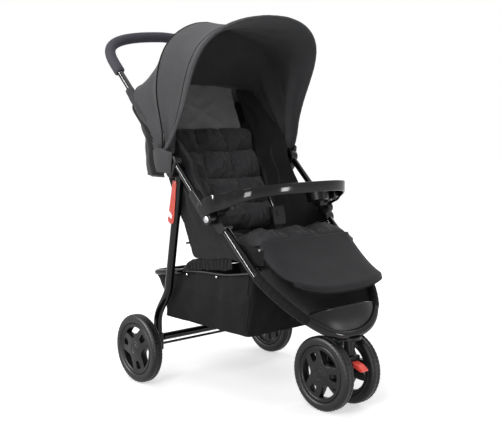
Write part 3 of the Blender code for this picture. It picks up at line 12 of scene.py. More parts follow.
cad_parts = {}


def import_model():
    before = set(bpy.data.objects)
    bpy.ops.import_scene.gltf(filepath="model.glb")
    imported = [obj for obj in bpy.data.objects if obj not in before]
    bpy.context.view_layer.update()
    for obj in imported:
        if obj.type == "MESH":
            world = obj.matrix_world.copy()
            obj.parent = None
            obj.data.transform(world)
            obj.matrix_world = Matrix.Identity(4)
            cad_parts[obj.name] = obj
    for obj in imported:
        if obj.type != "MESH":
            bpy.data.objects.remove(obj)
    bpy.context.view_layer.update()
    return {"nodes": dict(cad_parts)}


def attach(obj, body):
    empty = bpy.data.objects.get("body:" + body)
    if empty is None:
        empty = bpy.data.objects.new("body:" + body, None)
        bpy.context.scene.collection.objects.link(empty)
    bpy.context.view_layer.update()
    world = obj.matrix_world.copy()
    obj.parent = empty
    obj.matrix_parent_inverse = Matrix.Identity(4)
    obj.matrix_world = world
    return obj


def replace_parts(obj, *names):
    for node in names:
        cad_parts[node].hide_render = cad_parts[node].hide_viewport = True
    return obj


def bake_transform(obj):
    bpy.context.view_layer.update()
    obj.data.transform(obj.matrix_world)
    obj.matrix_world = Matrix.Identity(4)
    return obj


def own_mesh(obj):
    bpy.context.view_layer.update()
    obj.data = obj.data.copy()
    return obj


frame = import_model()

# Places and sizes shared with the frame
SIDES = (("right", -1), ("left", 1))
REAR_AXLE_Y, WHEELBASE, REAR_TRACK, FRONT_TRACK = 0.213, 0.5605, 0.528, 0.104
WHEEL_RADIUS, TYRE_WIDTH, TYRE_DEPTH = 0.1025, 0.034, 0.026
LEG_RADIUS, HANDLE_RADIUS, LINK_RADIUS, BOW_RADIUS = 0.0125, 0.0095, 0.008, 0.0035
LEG_X, LINK_X, HANDLE_X = 0.2, 0.172, 0.228
HOUSING_IN, HOUSING_OUT = 0.2152, 0.2405
FOLD_PIVOT = Vector((-0.3, 0.513))
LEG_PIVOT = Vector((-0.132, 0.635))
LINK_PIVOT = Vector((-0.436, 0.3886))
CANOPY_PIVOT = Vector((-0.1, 0.668))
HANDLE_ANGLE, FRONT_ANGLE = radians(43.9), radians(42.5)
HANDLE_DIR = Vector((cos(HANDLE_ANGLE), sin(HANDLE_ANGLE)))
FRONT_DIR = Vector((-cos(FRONT_ANGLE), -sin(FRONT_ANGLE)))
LEG_DIR = Vector((0.187, -1)).normalized()
HANDLE_STRAIGHT, HANDLE_TOP, HANDLE_REACH = 0.626, 1.045, 0.222
GRIP_START, GRIP_RADIUS = 0.59, 0.0163
BOW_FRONT, BOW_HEIGHT = 0.616, 0.212
FOOT_Y, FOOT_HEIGHT, CROSS_HEIGHT = -0.008, 0.117, 0.125
SEAT_FRONT, SEAT_REAR, SEAT_HALF = Vector((-0.43, 0.44)), Vector((-0.165, 0.39)), 0.163
BACK_BASE, BACK_TOP = Vector((-0.13, 0.425)), Vector((0.028, 0.775))
BOARD, CUSHION = 0.006, 0.034
LEG_REST_PIVOT, LEG_REST_DROP, LEG_REST_LENGTH = Vector((-0.4475, 0.4375)), radians(32), 0.182
MID_BOW_X, FRONT_BOW_X = 0.2443, 0.2519
TRAY_HALF, TRAY_REAR, TRAY_FRONT, TRAY_LIFT = 0.224, -0.262, -0.452, 0.236
TRAY_TOP, TRAY_LIP, TRAY_WALL, TRAY_EXPONENT = 0.566, 0.03, 0.0045, 3.4
ARM_BEND, ARM_OUT, ARM_END, ARM_SWING = -0.378, -0.322, -0.279, 0.0225
DECK_DROP = 0.006
CUP_X, CUP_Y, CUP_RADIUS = 0.118, -0.362, 0.036
FOOTPLATE_WIDE, FOOTPLATE_TOP, FOOTPLATE_WALL = 0.124, 0.2845, 0.004
BASKET_HALF, BASKET_FLOOR = 0.1637, 0.197
LOCK_PIVOT, LOCK_HALF = Vector((-0.6275, 0.134)), 0.012

# Half of each bent wire and of the lower link, as (x, y, z) in the side view's measure
FRONT_BOW = (
    (FRONT_BOW_X, *CANOPY_PIVOT), (FRONT_BOW_X, -0.124, 0.692), (0.243, -0.147, 0.729), (0.232, -0.169, 0.782),
    (0.228, -0.193, 0.838), (0.229, -0.218, 0.894), (0.225, -0.243, 0.946), (0.208, -0.266, 0.991),
    (0.171, -0.288, 1.026), (0.115, -0.308, 1.05), (0.049, -0.322, 1.062), (0.0, -0.326, 1.064),
)
MID_BOW = (
    (MID_BOW_X, *CANOPY_PIVOT), (MID_BOW_X, -0.113, 0.7), (0.247, -0.117, 0.745), (0.249, -0.109, 0.79),
    (0.247, -0.095, 0.835), (0.242, -0.086, 0.876), (0.232, -0.08, 0.918), (0.216, -0.074, 0.957),
    (0.19, -0.065, 0.992), (0.153, -0.053, 1.022), (0.103, -0.037, 1.047), (0.048, -0.02, 1.064),
    (0.0, -0.013, 1.07),
)
LINK_PATH = (
    (LINK_X, LINK_PIVOT.x - 0.012, LINK_PIVOT.y - 0.003), (LINK_X, LINK_PIVOT.x + 0.03, LINK_PIVOT.y + 0.01),
    (LINK_X, -0.36, 0.4075), (LINK_X, -0.25, 0.3885), (LINK_X, -0.15, 0.369), (LINK_X, -0.128, 0.357),
    (LINK_X, -0.108, 0.34), (LINK_X, -0.08, 0.3345), (LINK_X, 0.015, 0.32), (LINK_X - 0.007, 0.04, 0.3165),
    (LINK_X - 0.027, 0.057, 0.315), (LINK_X - 0.06, 0.062, 0.314), (0, 0.062, 0.314),
)


# Points and paths


def shares(count):
    """Even steps from 0 to 1."""
    return [i / count for i in range(count + 1)]


def turns(count):
    """Even steps once round a circle."""
    return [tau * k / count for k in range(count)]


def place(x, point):
    """A side-view point at a given x, in the frame's coordinates."""
    return Vector((x, point[0] + REAR_AXLE_Y, point[1]))


def mirrored(half):
    """A whole left-to-right path from its half, which runs from the side to the middle."""
    return half + [Vector((-p.x, p.y, p.z)) for p in reversed(half[:-1])]


def bezier(points, steps):
    """Points along a Bezier curve of any degree."""
    top = len(points) - 1
    made = []
    for t in shares(steps):
        parts = (comb(top, k) * (1 - t) ** (top - k) * t**k * Vector(p) for k, p in enumerate(points))
        made.append(sum(parts, Vector((0, 0, 0))))
    return made


def resample(points, count):
    """Points at even steps along a path."""
    lengths = [(b - a).length for a, b in zip(points, points[1:])]
    step = sum(lengths) / count
    made, index, used = [points[0]], 0, 0.0
    for i in range(1, count):
        while used + lengths[index] < i * step:
            used += lengths[index]
            index += 1
        made.append(points[index].lerp(points[index + 1], (i * step - used) / lengths[index]))
    return made + [points[-1]]


def spline(points, count):
    """A smooth curve through points, at even steps."""
    ends = [2 * points[0] - points[1], *points, 2 * points[-1] - points[-2]]
    made = []
    for a, b, c, d in zip(ends, ends[1:], ends[2:], ends[3:]):
        for t in shares(10)[:-1]:
            square, cube = 2 * a - 5 * b + 4 * c - d, 3 * b - a - 3 * c + d
            made.append(0.5 * (2 * b + (c - a) * t + square * t**2 + cube * t**3))
    return resample(made + [points[-1]], count)


def bent_line(bends, steps=60):
    """A whole smooth line from the bends of its half."""
    return mirrored(spline([place(x, (y, z)) for x, y, z in bends], steps))


def step_up(low, high, value):
    """0 below low, 1 above high and smooth between."""
    t = max(0.0, min(1.0, (value - low) / (high - low)))
    return t * t * (3 - 2 * t)


def ripple(point, size, seed=0.0):
    """A smooth random height from -1 to 1 whose lumps are about as wide as size."""
    return noise.noise(Vector(point) / size + Vector((seed, seed * 0.7, seed * 1.3)))


def polar(radius, angle):
    return Vector((radius * cos(angle), radius * sin(angle)))


def height_at(points, y):
    """The height at y of a line through (y, z) points."""
    for (y1, z1), (y2, z2) in zip(points, points[1:]):
        if y <= y2:
            return z1 + (z2 - z1) * max(0.0, (y - y1) / (y2 - y1))
    return points[-1][1]


def handle_point(distance):
    return FOLD_PIVOT + distance * HANDLE_DIR


def front_point(distance):
    return FOLD_PIVOT + distance * FRONT_DIR


def handle_y(z):
    """Where the handle tube's axis is at a height."""
    return FOLD_PIVOT.x + (z - FOLD_PIVOT.y) / tan(HANDLE_ANGLE)


# Making meshes

SAME_PLACE = 0.000001


def tidy_faces(obj, sharp):
    """Merges doubled points, turns the faces outward and smooths all but the sharp edges."""
    bm = bmesh.new()
    bm.from_mesh(obj.data)
    bmesh.ops.remove_doubles(bm, verts=bm.verts, dist=SAME_PLACE)
    bmesh.ops.recalc_face_normals(bm, faces=bm.faces)
    bm.to_mesh(obj.data)
    bm.free()
    obj.data.shade_smooth()
    obj.data.set_sharp_from_angle(angle=radians(sharp))
    return obj


def piece(name, verts, faces, material, sharp=40):
    """An object from points and faces, smooth between its sharp edges."""
    mesh = bpy.data.meshes.new(name)
    mesh.from_pydata([tuple(v) for v in verts], [], faces)
    mesh.materials.append(material)
    obj = bpy.data.objects.new(name, mesh)
    bpy.context.scene.collection.objects.link(obj)
    return tidy_faces(obj, sharp)


def modified(obj, kind, sharp=40, **settings):
    """Turns a modifier with its settings into the object's mesh."""
    step = obj.modifiers.new(kind.lower(), kind)
    for key, value in settings.items():
        setattr(step, key, value)
    bpy.context.view_layer.update()
    mesh = bpy.data.meshes.new_from_object(obj.evaluated_get(bpy.context.evaluated_depsgraph_get()))
    obj.modifiers.clear()
    obj.data = mesh
    return tidy_faces(obj, sharp)


def rounded(obj, width, segments=3, sharp=40):
    """Rounds a moulded piece's edges, as its mould does."""
    corner = radians(35)
    return modified(obj, "BEVEL", sharp, width=width, segments=segments, limit_method="ANGLE", angle_limit=corner)


def cut_out(obj, cutter):
    """Takes the cutter's space out of a piece, and then the cutter itself away."""
    modified(obj, "BOOLEAN", operation="DIFFERENCE", solver="EXACT", object=cutter)
    bpy.data.objects.remove(cutter)
    return obj


def grid_faces(rows, columns, closed=False):
    """The faces of a grid of points; a closed one joins its last column to its first."""
    faces = []
    for r in range(rows - 1):
        for c in range(columns if closed else columns - 1):
            d = (c + 1) % columns
            faces.append((r * columns + c, r * columns + d, (r + 1) * columns + d, (r + 1) * columns + c))
    return faces


def grid_of(rows, columns, point):
    """A grid of what point gives for each share down it and each share across it."""
    return [[point(v, u) for u in shares(columns)] for v in shares(rows)]


def skin(name, loops, material, sharp=40):
    """A closed piece through a row of loops of points, with a cap on its first and its last."""
    rows, sides = len(loops), len(loops[0])
    caps = [tuple(range(sides)), tuple(range((rows - 1) * sides, rows * sides))]
    return piece(name, [p for loop in loops for p in loop], grid_faces(rows, sides, True) + caps, material, sharp)


def across(direction):
    """Two unit vectors square to a direction."""
    side = Vector((1, 0, 0)) if abs(direction.x) < 0.9 else Vector((0, 0, 1))
    up = direction.cross(side).normalized()
    return up.cross(direction).normalized(), up


def swept(name, path, radius, material, sides=24, crease=None):
    """A tube along a path. radius is a number or a function of the share along it, and crease adds to it."""
    first = across((path[1] - path[0]).normalized())[0]
    last = len(path) - 1
    loops = []
    for i, point in enumerate(path):
        direction = (path[min(i + 1, last)] - path[max(i - 1, 0)]).normalized()
        second = direction.cross(first).normalized()
        first = second.cross(direction)
        size = radius(i / last) if callable(radius) else radius
        loop = []
        for turn in turns(sides):
            bump = crease(i / last, turn) if crease else 0.0
            loop.append(point + (size + bump) * (cos(turn) * first + sin(turn) * second))
        loops.append(loop)
    return skin(name, loops, material)


def turned(name, start, axis, profile, material, sides, sharp=40):
    """A turned piece from a closed loop of (distance along the axis, radius) pairs."""
    first, second = across(axis)
    around = [cos(turn) * first + sin(turn) * second for turn in turns(sides)]
    verts = [start + along * axis + radius * out for along, radius in profile for out in around]
    faces = [tuple(i % len(verts) for i in face) for face in grid_faces(len(profile) + 1, sides, True)]
    faces = [face for face in faces if any(profile[i // sides][1] for i in face)]
    obj = piece(name, verts, faces, material, sharp)
    bm = bmesh.new()
    bm.from_mesh(obj.data)
    bmesh.ops.dissolve_degenerate(bm, edges=bm.edges, dist=SAME_PLACE)
    bmesh.ops.delete(bm, geom=[e for e in bm.edges if not e.link_faces], context="EDGES")
    bm.to_mesh(obj.data)
    bm.free()
    return tidy_faces(obj, sharp)


def boss(name, x, point, profile, material, sides=32, sharp=40):
    """A turned piece on the stroller's side, whose axis points outward."""
    return turned(name, place(x, point), Vector((copysign(1, x), 0, 0)), profile, material, sides, sharp)


def extruded(name, outline, x_from, x_to, material, edge):
    """A side-view outline as thick as the distance between two x, with rounded edges."""
    return rounded(skin(name, [[place(x, p) for p in outline] for x in (x_from, x_to)], material), edge)


def stadium(start, end, radius, radius_end):
    """The outline of a bar with round ends, in side view."""
    along = atan2(end[1] - start[1], end[0] - start[0])
    points = []
    for centre, size, turn in ((end, radius_end, along - pi / 2), (start, radius, along + pi / 2)):
        points += [Vector(centre) + polar(size, turn + pi * share) for share in shares(16)]
    return points


def cloth(name, grid, material, thickness=0.0012, closed=False):
    """A sheet of cloth through a grid of points."""
    faces = grid_faces(len(grid), len(grid[0]), closed)
    obj = piece(name, [p for row in grid for p in row], faces, material)
    return modified(obj, "SOLIDIFY", 60, thickness=thickness, offset=0)


def block(name, pairs, material, sharp=50):
    """A closed piece from a grid of pairs of points, one on its face and one on its back."""
    rows, columns = len(pairs), len(pairs[0])
    verts = [pair[side] for side in (0, 1) for row in pairs for pair in row]
    count = rows * columns
    faces = grid_faces(rows, columns)
    faces += [tuple(i + count for i in face) for face in faces]
    edge = [(0, c) for c in range(columns)] + [(r, columns - 1) for r in range(1, rows)]
    edge += [(rows - 1, c) for c in range(columns - 2, -1, -1)] + [(r, 0) for r in range(rows - 2, 0, -1)]
    edge = [r * columns + c for r, c in edge]
    faces += [(a, b, b + count, a + count) for a, b in zip(edge, edge[1:] + edge[:1])]
    return piece(name, verts, faces, material, sharp)


def normals_of(grid, outside):
    """Unit normals of a grid, turned away from the point outside it."""
    rows, columns = len(grid), len(grid[0])
    made = [[None] * columns for _ in range(rows)]
    for r, row in enumerate(grid):
        for c, point in enumerate(row):
            down = grid[min(r + 1, rows - 1)][c] - grid[max(r - 1, 0)][c]
            normal = down.cross(row[min(c + 1, columns - 1)] - row[max(c - 1, 0)]).normalized()
            made[r][c] = normal if normal.dot(point - outside) > 0 else -normal
    return made


def lofted(lines, rows):
    """A smooth grid through curves of as many points each."""
    return [list(row) for row in zip(*(spline(list(column), rows) for column in zip(*lines)))]


def declare_sheet(obj, grid):
    """Measures a sheet's width, length and area along its grid, and gives the sheet back unchanged."""
    width, length = (
        max(sum((b - a).length for a, b in zip(line, line[1:])) for line in lines) for lines in (grid, list(zip(*grid)))
    )
    area = 0.0
    for upper, lower in zip(grid, grid[1:]):
        for a, b, c, d in zip(upper, upper[1:], lower[1:], lower):
            area += (b - a).cross(c - a).length / 2 + (c - a).cross(d - a).length / 2
    area = min(area, width * length)
    return obj


def fit(obj, body, slot, *nodes):
    """The piece moves with a body and stands for the frame's nodes that are named; the slot is not used."""
    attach(obj, body)
    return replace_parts(obj, *nodes) if nodes else obj


# Materials


def linear(code):
    """A linear colour from an sRGB hex code."""
    levels = [int(code[i:i + 2], 16) / 255 for i in (0, 2, 4)]
    return (*(v / 12.92 if v <= 0.04045 else ((v + 0.055) / 1.055) ** 2.4 for v in levels), 1.0)


def add(tree, kind, settings=(), links=()):
    """Adds a node, gives it its settings and links its inputs to other nodes' outputs."""
    node = tree.nodes.new("ShaderNode" + kind)
    for key, value in dict(settings).items():
        if isinstance(key, int) or key in node.inputs:
            node.inputs[key].default_value = value
        else:
            setattr(node, key, value)
    for key, source in dict(links).items():
        tree.links.new(source, node.inputs[key])
    return node


def maths(tree, operation, first, second):
    """What a Math node makes of two outputs."""
    return add(tree, "Math", {"operation": operation}, {0: first, 1: second}).outputs["Value"]


def finish(name, **settings):
    """A new material, its nodes, its shader with the constants set on it, and the places its textures follow."""
    made = bpy.data.materials.new(name)
    made.use_nodes = True
    tree = made.node_tree
    shader = tree.nodes["Principled BSDF"]
    for key, value in settings.items():
        shader.inputs[key.replace("_", " ").title().replace("Ior", "IOR")].default_value = value
    return made, tree, shader, add(tree, "TexCoord").outputs["Object"]


def mottled(tree, shader, dark, light, size, where):
    """Two close colours in soft patches about as wide as size."""
    patches = add(tree, "TexNoise", {"Scale": 1 / size, "Detail": 4.0, "Roughness": 0.6}, {"Vector": where})
    colours = {"data_type": "RGBA", 6: linear(dark), 7: linear(light)}
    colour = add(tree, "Mix", colours, {"Factor": patches.outputs["Fac"]})
    tree.links.new(colour.outputs[2], shader.inputs["Base Color"])


def bumped(tree, shader, height, distance, strength=1.0, below=()):
    """Lets a height stand out from the surface, over another bump where one is given."""
    links = {"Height": height, **dict(below)}
    bump = add(tree, "Bump", {"Distance": distance, "Strength": strength}, links).outputs["Normal"]
    tree.links.new(bump, shader.inputs["Normal"])
    return bump


def polyester(name, dark, light, roughness, sheen, thread=0.0016, crush=0.018, crush_depth=0.0012):
    """Woven polyester: matt, with fine crossing threads, soft patches and shallow crush marks.

    The real threads are about 0.3 mm apart, too fine for the render, so they are drawn at thread.
    """
    made, tree, shader, where = finish(
        name, roughness=roughness, ior=1.45, sheen_weight=sheen, sheen_roughness=0.5, specular_ior_level=0.08
    )
    mottled(tree, shader, dark, light, 0.05, where)
    lines = {"Scale": 1 / thread / tau, "Distortion": 0.6, "Detail": 1.0, "bands_direction": "X"}
    weave = []
    for turn in (radians(45), radians(-45)):
        laid = add(tree, "Mapping", {"Rotation": (turn, 0, turn)}, {"Vector": where})
        weave.append(add(tree, "TexWave", lines, {"Vector": laid.outputs["Vector"]}).outputs["Fac"])
    marks = add(tree, "TexNoise", {"Scale": 1 / crush, "Detail": 3.0, "Distortion": 0.8}, {"Vector": where})
    fine = bumped(tree, shader, maths(tree, "MULTIPLY", *weave), 0.00025, 0.6)
    bumped(tree, shader, marks.outputs["Fac"], crush_depth, 0.7, {"Normal": fine})
    return made


def surface(name, dark, light, patch, kind, texture, bump=None, gloss=None, stretch=None, **settings):
    """A hard material in two close colours, with one fine texture that bumps it or varies its roughness."""
    made, tree, shader, where = finish(name, **settings)
    mottled(tree, shader, dark, light, patch, where)
    if stretch:
        where = add(tree, "Mapping", {"Scale": stretch}, {"Vector": where}).outputs["Vector"]
    grain = add(tree, "Tex" + kind, texture, {"Vector": where})
    grain = grain.outputs["Distance" if kind == "Voronoi" else "Fac"]
    if gloss:
        spread = add(tree, "MapRange", {"To Min": gloss[0], "To Max": gloss[1]}, {"Value": grain})
        tree.links.new(spread.outputs["Result"], shader.inputs["Roughness"])
    if bump:
        bumped(tree, shader, grain, bump)
    return made


def eva_foam(name, dark, light, roughness, cell):
    """Moulded EVA foam: dull grey-black with a pebbled skin."""
    return surface(
        name, dark, light, 0.012, "Voronoi", {"Scale": 1 / cell}, bump=0.00012,
        roughness=roughness, ior=1.45, specular_ior_level=0.3,
    )


def moulded_red(name, dark, light):
    """Red polypropylene, moulded: satin, a little lighter where it is thin, with flow marks."""
    return surface(
        name, dark, light, 0.015, "Noise", {"Scale": 1 / 0.004, "Detail": 2.0}, bump=0.00006,
        roughness=0.38, ior=1.49, subsurface_weight=0.08, subsurface_radius=(0.004, 0.001, 0.0005),
    )


# Gloss black powder coat on steel tube: near black, with sharp streaks of light and a faint orange peel
STEEL_TUBE = surface(
    "powder_coated_steel", "08080A", "0E0E10", 0.03, "Noise", {"Scale": 1 / 0.003, "Detail": 2.0}, bump=0.00001,
    roughness=0.1, ior=1.45, specular_ior_level=0.32,
)
# Glass-filled nylon from a fine-textured mould: satin black with a small grain that softens the light
NYLON = surface(
    "moulded_nylon", "121214", "1A1A1C", 0.02, "Voronoi", {"Scale": 1 / 0.0012}, bump=0.00005, gloss=(0.26, 0.4),
    ior=1.5, specular_ior_level=0.22,
)
# ABS from a polished mould: piano black with mirror-like patches and faint wiping marks
GLOSS = surface(
    "polished_abs", "040405", "070708", 0.05, "Noise", {"Scale": 1 / 0.02, "Detail": 6.0}, gloss=(0.06, 0.15),
    stretch=(1.0, 6.0, 6.0), ior=1.5, specular_ior_level=0.28,
)
# Zinc-plated steel: bright silver with a slightly cloudy shine
ZINC = surface(
    "zinc_plated_steel", "8E8F92", "B9BABD", 0.004, "Noise", {"Scale": 1 / 0.002, "Detail": 3.0}, gloss=(0.14, 0.32),
    metallic=1.0,
)
# Woven polypropylene webbing: dull black with ribs across it
TAPE = surface(
    "woven_webbing", "161617", "222224", 0.006, "Wave", {"Scale": 1 / 0.002 / tau, "bands_direction": "Z"},
    bump=0.0003, roughness=0.75, ior=1.49,
)
TYRE = eva_foam("moulded_eva_tyre", "131315", "1C1C1E", 0.42, 0.0016)
GRIP = eva_foam("soft_grip_foam", "3D3C43", "4C4B54", 0.85, 0.0022)
RED = moulded_red("moulded_red_polypropylene", "E8402F", "F4604E")
# The swivel lever's red is the hook's red painted lighter, to make up for the shade the lever sits in under the wheel
LEVER_RED_LIGHTENED_FOR_SHADE = moulded_red("red_polypropylene_lightened_for_shade", "FF4A3E", "FF6252")
HOOD_CLOTH = polyester("grey_hood_polyester", "525254", "5E5E60", 0.85, 0.12)
LINING_CLOTH = polyester("black_hood_lining", "3F3F41", "4E4E50", 0.8, 0.1, crush_depth=0.002)
SEAT_CLOTH = polyester("black_seat_polyester", "3A3A3C", "4A4A4C", 0.8, 0.15, crush=0.022, crush_depth=0.003)
HEAD_CLOTH = polyester("grey_head_polyester", "868688", "989899", 0.8, 0.15, crush=0.03, crush_depth=0.003)
WRAP_CLOTH = polyester("grey_wrap_polyester", "424244", "545456", 0.8, 0.15, crush=0.014, crush_depth=0.003)
SIDE_CLOTH = polyester("black_side_polyester", "212123", "2B2B2D", 0.8, 0.15, crush=0.04, crush_depth=0.003)
SMOOTH_CLOTH = polyester("smooth_leg_rest_polyester", "2C2C2E", "343436", 0.75, 0.12, crush=0.06, crush_depth=0.0008)
BASKET_CLOTH = polyester("black_basket_polyester", "141415", "1D1D1E", 0.75, 0.1, thread=0.0022, crush_depth=0.002)
POCKET_CLOTH = polyester("grey_pocket_polyester", "0E0E10", "161618", 0.75, 0.1, thread=0.0022)


# Frame tubes


def front_tube_path():
    """The centre line of the front tube: down one leg, round the bow and up the other."""
    top, bend, tangent = (place(LEG_X, front_point(along)) for along in (-0.022, 0.19, 0.272))
    shoulder = place(LEG_X * 0.675, (-BOW_FRONT, BOW_HEIGHT + 0.033))
    flat, middle = (place(x, (-BOW_FRONT, BOW_HEIGHT)) for x in (LEG_X * 0.41, 0))
    straight = [top.lerp(bend, share) for share in shares(12)[:-1]]
    return mirrored(straight + bezier([bend, tangent, shoulder, flat, middle], 48))


def handle_half():
    """Half of the handle's upper bend, from its straight leg to the middle."""
    straight, tangent = (place(HANDLE_X, handle_point(HANDLE_STRAIGHT + more)) for more in (0, 0.069))
    shoulder = place(HANDLE_X - 0.013, (HANDLE_REACH + 0.01, HANDLE_TOP - 0.015))
    flat = place(HANDLE_X * 0.48, (HANDLE_REACH, HANDLE_TOP - 0.003))
    return bezier([straight, tangent, shoulder, flat, place(0, (HANDLE_REACH, HANDLE_TOP))], 40)


def rear_leg_path(x):
    """A rear leg's centre line, which bends upright above the axle."""
    knee = LEG_PIVOT + 0.348 * LEG_DIR
    bend = [place(x, p) for p in (knee, knee + 0.045 * LEG_DIR, (FOOT_Y, 0.222), (FOOT_Y, 0.17))]
    return [place(x, LEG_PIVOT - 0.011 * LEG_DIR), *bezier(bend, 20), place(x, (FOOT_Y, FOOT_HEIGHT))]


def grip_radius(share):
    """The foam grip's radius, rounded off at its two ends."""
    end = min(share, 1 - share) * 0.9
    return GRIP_RADIUS - 0.0045 * (1 - min(1.0, end / 0.006)) ** 2


def tubes():
    """The bent steel tubes, drawn smooth over the frame's, and the foam grip."""
    half = handle_half()
    handle = mirrored([place(HANDLE_X, handle_point(-0.012))] + half)
    grip = mirrored(resample([place(HANDLE_X, handle_point(GRIP_START))] + half, 60))
    cross = [place(x, (FOOT_Y, CROSS_HEIGHT)) for x in (-0.183, 0, 0.183)]
    steel, foam = (STEEL_TUBE, "black_painted_steel"), (GRIP, "grip_foam")
    for name, path, radius, sides, (material, slot), body, node in (
        ("front_tube", front_tube_path(), LEG_RADIUS, 32, steel, "frame", "front_frame_tube"),
        ("handle_bar", handle, HANDLE_RADIUS, 32, steel, "handle", "handle_tube"),
        ("foam_grip", grip, grip_radius, 32, foam, "handle", "handle_grip"),
        ("rear_leg_tube_right", rear_leg_path(-LEG_X), LEG_RADIUS, 32, steel, "rear_legs", "rear_leg_right"),
        ("rear_leg_tube_left", rear_leg_path(LEG_X), LEG_RADIUS, 32, steel, "rear_legs", "rear_leg_left"),
        ("rear_cross_bar", cross, 0.011, 32, steel, "rear_legs", "rear_cross_tube"),
        ("lower_link_bar", bent_line(LINK_PATH, 70), LINK_RADIUS, 24, steel, "link", "lower_link_tube"),
    ):
        fit(swept(name, path, radius, material, sides), body, slot, node)


def bows():
    """The canopy's two wires, each with an eye at either end."""
    edge = ((0.0034, 0.0026), (0.0034, 0.0062), (0.0028, 0.0068))
    profile = [(-along, radius) for along, radius in edge] + list(reversed(edge))
    for name, bends, body, node in (
        ("front_bow_wire", FRONT_BOW, "canopy_front", "canopy_front_bow"),
        ("middle_bow_wire", MID_BOW, "canopy_middle", "canopy_mid_bow"),
    ):
        fit(swept(name, bent_line(bends), BOW_RADIUS, STEEL_TUBE, 16), body, "black_painted_steel", node)
        for label, sign in SIDES:
            eye = boss(f"{node}_eye_{label}", sign * bends[0][0], CANOPY_PIVOT, profile, NYLON)
            fit(eye, body, "black_plastic")


# Moulded joints


def shell(name, label, sign, outline, edge, *nodes):
    """A moulded joint on a handle leg, with softened edges."""
    made = extruded(name + label, outline, sign * HOUSING_IN, sign * HOUSING_OUT, NYLON, edge)
    fit(made, "handle", "black_plastic", *nodes)


def housings():
    """The moulded joints on the handle's legs and their pins and caps."""
    top = handle_point((LEG_PIVOT - FOLD_PIVOT).dot(HANDLE_DIR) + 0.012)
    lower = stadium(FOLD_PIVOT, handle_point(0.09), 0.0165, 0.0135)
    upper = stadium(LEG_PIVOT, top, 0.017, 0.019)
    canopy_arm = stadium(CANOPY_PIVOT, top, 0.012, 0.012)
    dimple = ((0, 0), (0.0006, 0), (0.0006, 0.0035), (0.001, 0.0045), (0.0004, 0.0056), (0, 0.0056))
    cap = ((0, 0), (0, 0.0072), (0.0012, 0.0072), (0.0022, 0.006), (0.0026, 0))
    dome = ((0, 0), (0, 0.0104), (0.0012, 0.0104), (0.0028, 0.0094), (0.0042, 0.007), (0.005, 0.0038), (0.0053, 0))
    for label, sign in SIDES:
        shell("fold_housing_shell_", label, sign, lower, 0.0028, "fold_housing_" + label)
        mark = boss("housing_dimple_" + label, sign * (HOUSING_OUT - 0.0002), handle_point(0.052), dimple, NYLON)
        fit(mark, "handle", "black_plastic")
        shell("upper_joint_shell_", label, sign, upper, 0.0028, "upper_joint_" + label)
        shell("canopy_arm_", label, sign, canopy_arm, 0.0024)
        pin = swept("leg_pin_" + label, [place(sign * x, LEG_PIVOT) for x in (0.2165, 0.194)], 0.005, ZINC)
        fit(pin, "handle", "zinc_steel")
        bow_cap = boss("bow_cap_" + label, sign * (FRONT_BOW_X + 0.003), CANOPY_PIVOT, cap, NYLON)
        fit(bow_cap, "handle", "black_plastic")
        bolt_cap = boss("dome_cap_" + label, sign * (HOUSING_OUT + 0.0003), FOLD_PIVOT, dome, ZINC, 48)
        fit(bolt_cap, "frame", "zinc_steel")


# Wheels


def tyre_profile():
    """A tyre's section: flat sides, round shoulders and a slightly stepped tread."""
    half, inner = TYRE_WIDTH / 2, WHEEL_RADIUS - TYRE_DEPTH
    outside = [(half * 0.72, inner), (half * 0.97, inner + 0.004), (half, inner + 0.008), (half, WHEEL_RADIUS - 0.0125)]
    for turn in (pi / 2 * share for share in shares(8)):
        outside.append((half - 0.0105 * (1 - cos(turn)), WHEEL_RADIUS - 0.0115 * (1 - sin(turn))))
    outside += [(0.0048, WHEEL_RADIUS), (0.0036, WHEEL_RADIUS - 0.0008)]
    return outside + [(-along, radius) for along, radius in reversed(outside)]


def cut_tread(tyre, centre):
    """Presses shallow slanted grooves into a tyre's tread and shoulders."""
    grooves, slant, deep = 54, 1.6, 0.0009
    for vertex in tyre.data.vertices:
        out = vertex.co - centre
        across_tread, out.x = out.x, 0
        if out.length >= WHEEL_RADIUS - 0.0075:
            angle = atan2(out.z, out.y) + slant * abs(across_tread)
            vertex.co -= deep * step_up(0.2, 0.8, cos(grooves * angle)) * out.normalized()


def spoke_window(turn):
    """The outline of a window between two spokes: the rim's arc outside and a hollow curve inside."""
    inner, outer = 0.0335, 0.0655
    steps = [i / 10 - 1 for i in range(21)]
    points = [polar(outer, turn + radians(35) * share) for share in steps]
    for share in reversed(steps):
        reach = inner + (outer - 0.005 - inner) * abs(share) ** 2.2
        points.append(polar(reach, turn + radians(32) * share))
    return points


def spoke_slot(turn):
    """The outline of the rounded slot through a spoke."""
    near, far, half, corner = 0.037, 0.061, 0.0105, 0.005
    points = []
    for radial, side in ((far, 1), (near, 1), (near, -1), (far, -1)):
        wide, way = (half, 1) if radial == far else (half * 0.8, -1)
        bends = [pi / 2 * share for share in shares(4)]
        for bend in bends if (radial == near) == (side == 1) else reversed(bends):
            r = radial + way * corner * (sin(bend) - 1)
            t = side * (wide - corner * (1 - cos(bend)))
            points.append(polar(r, turn) + polar(t, turn + pi / 2))
    return points


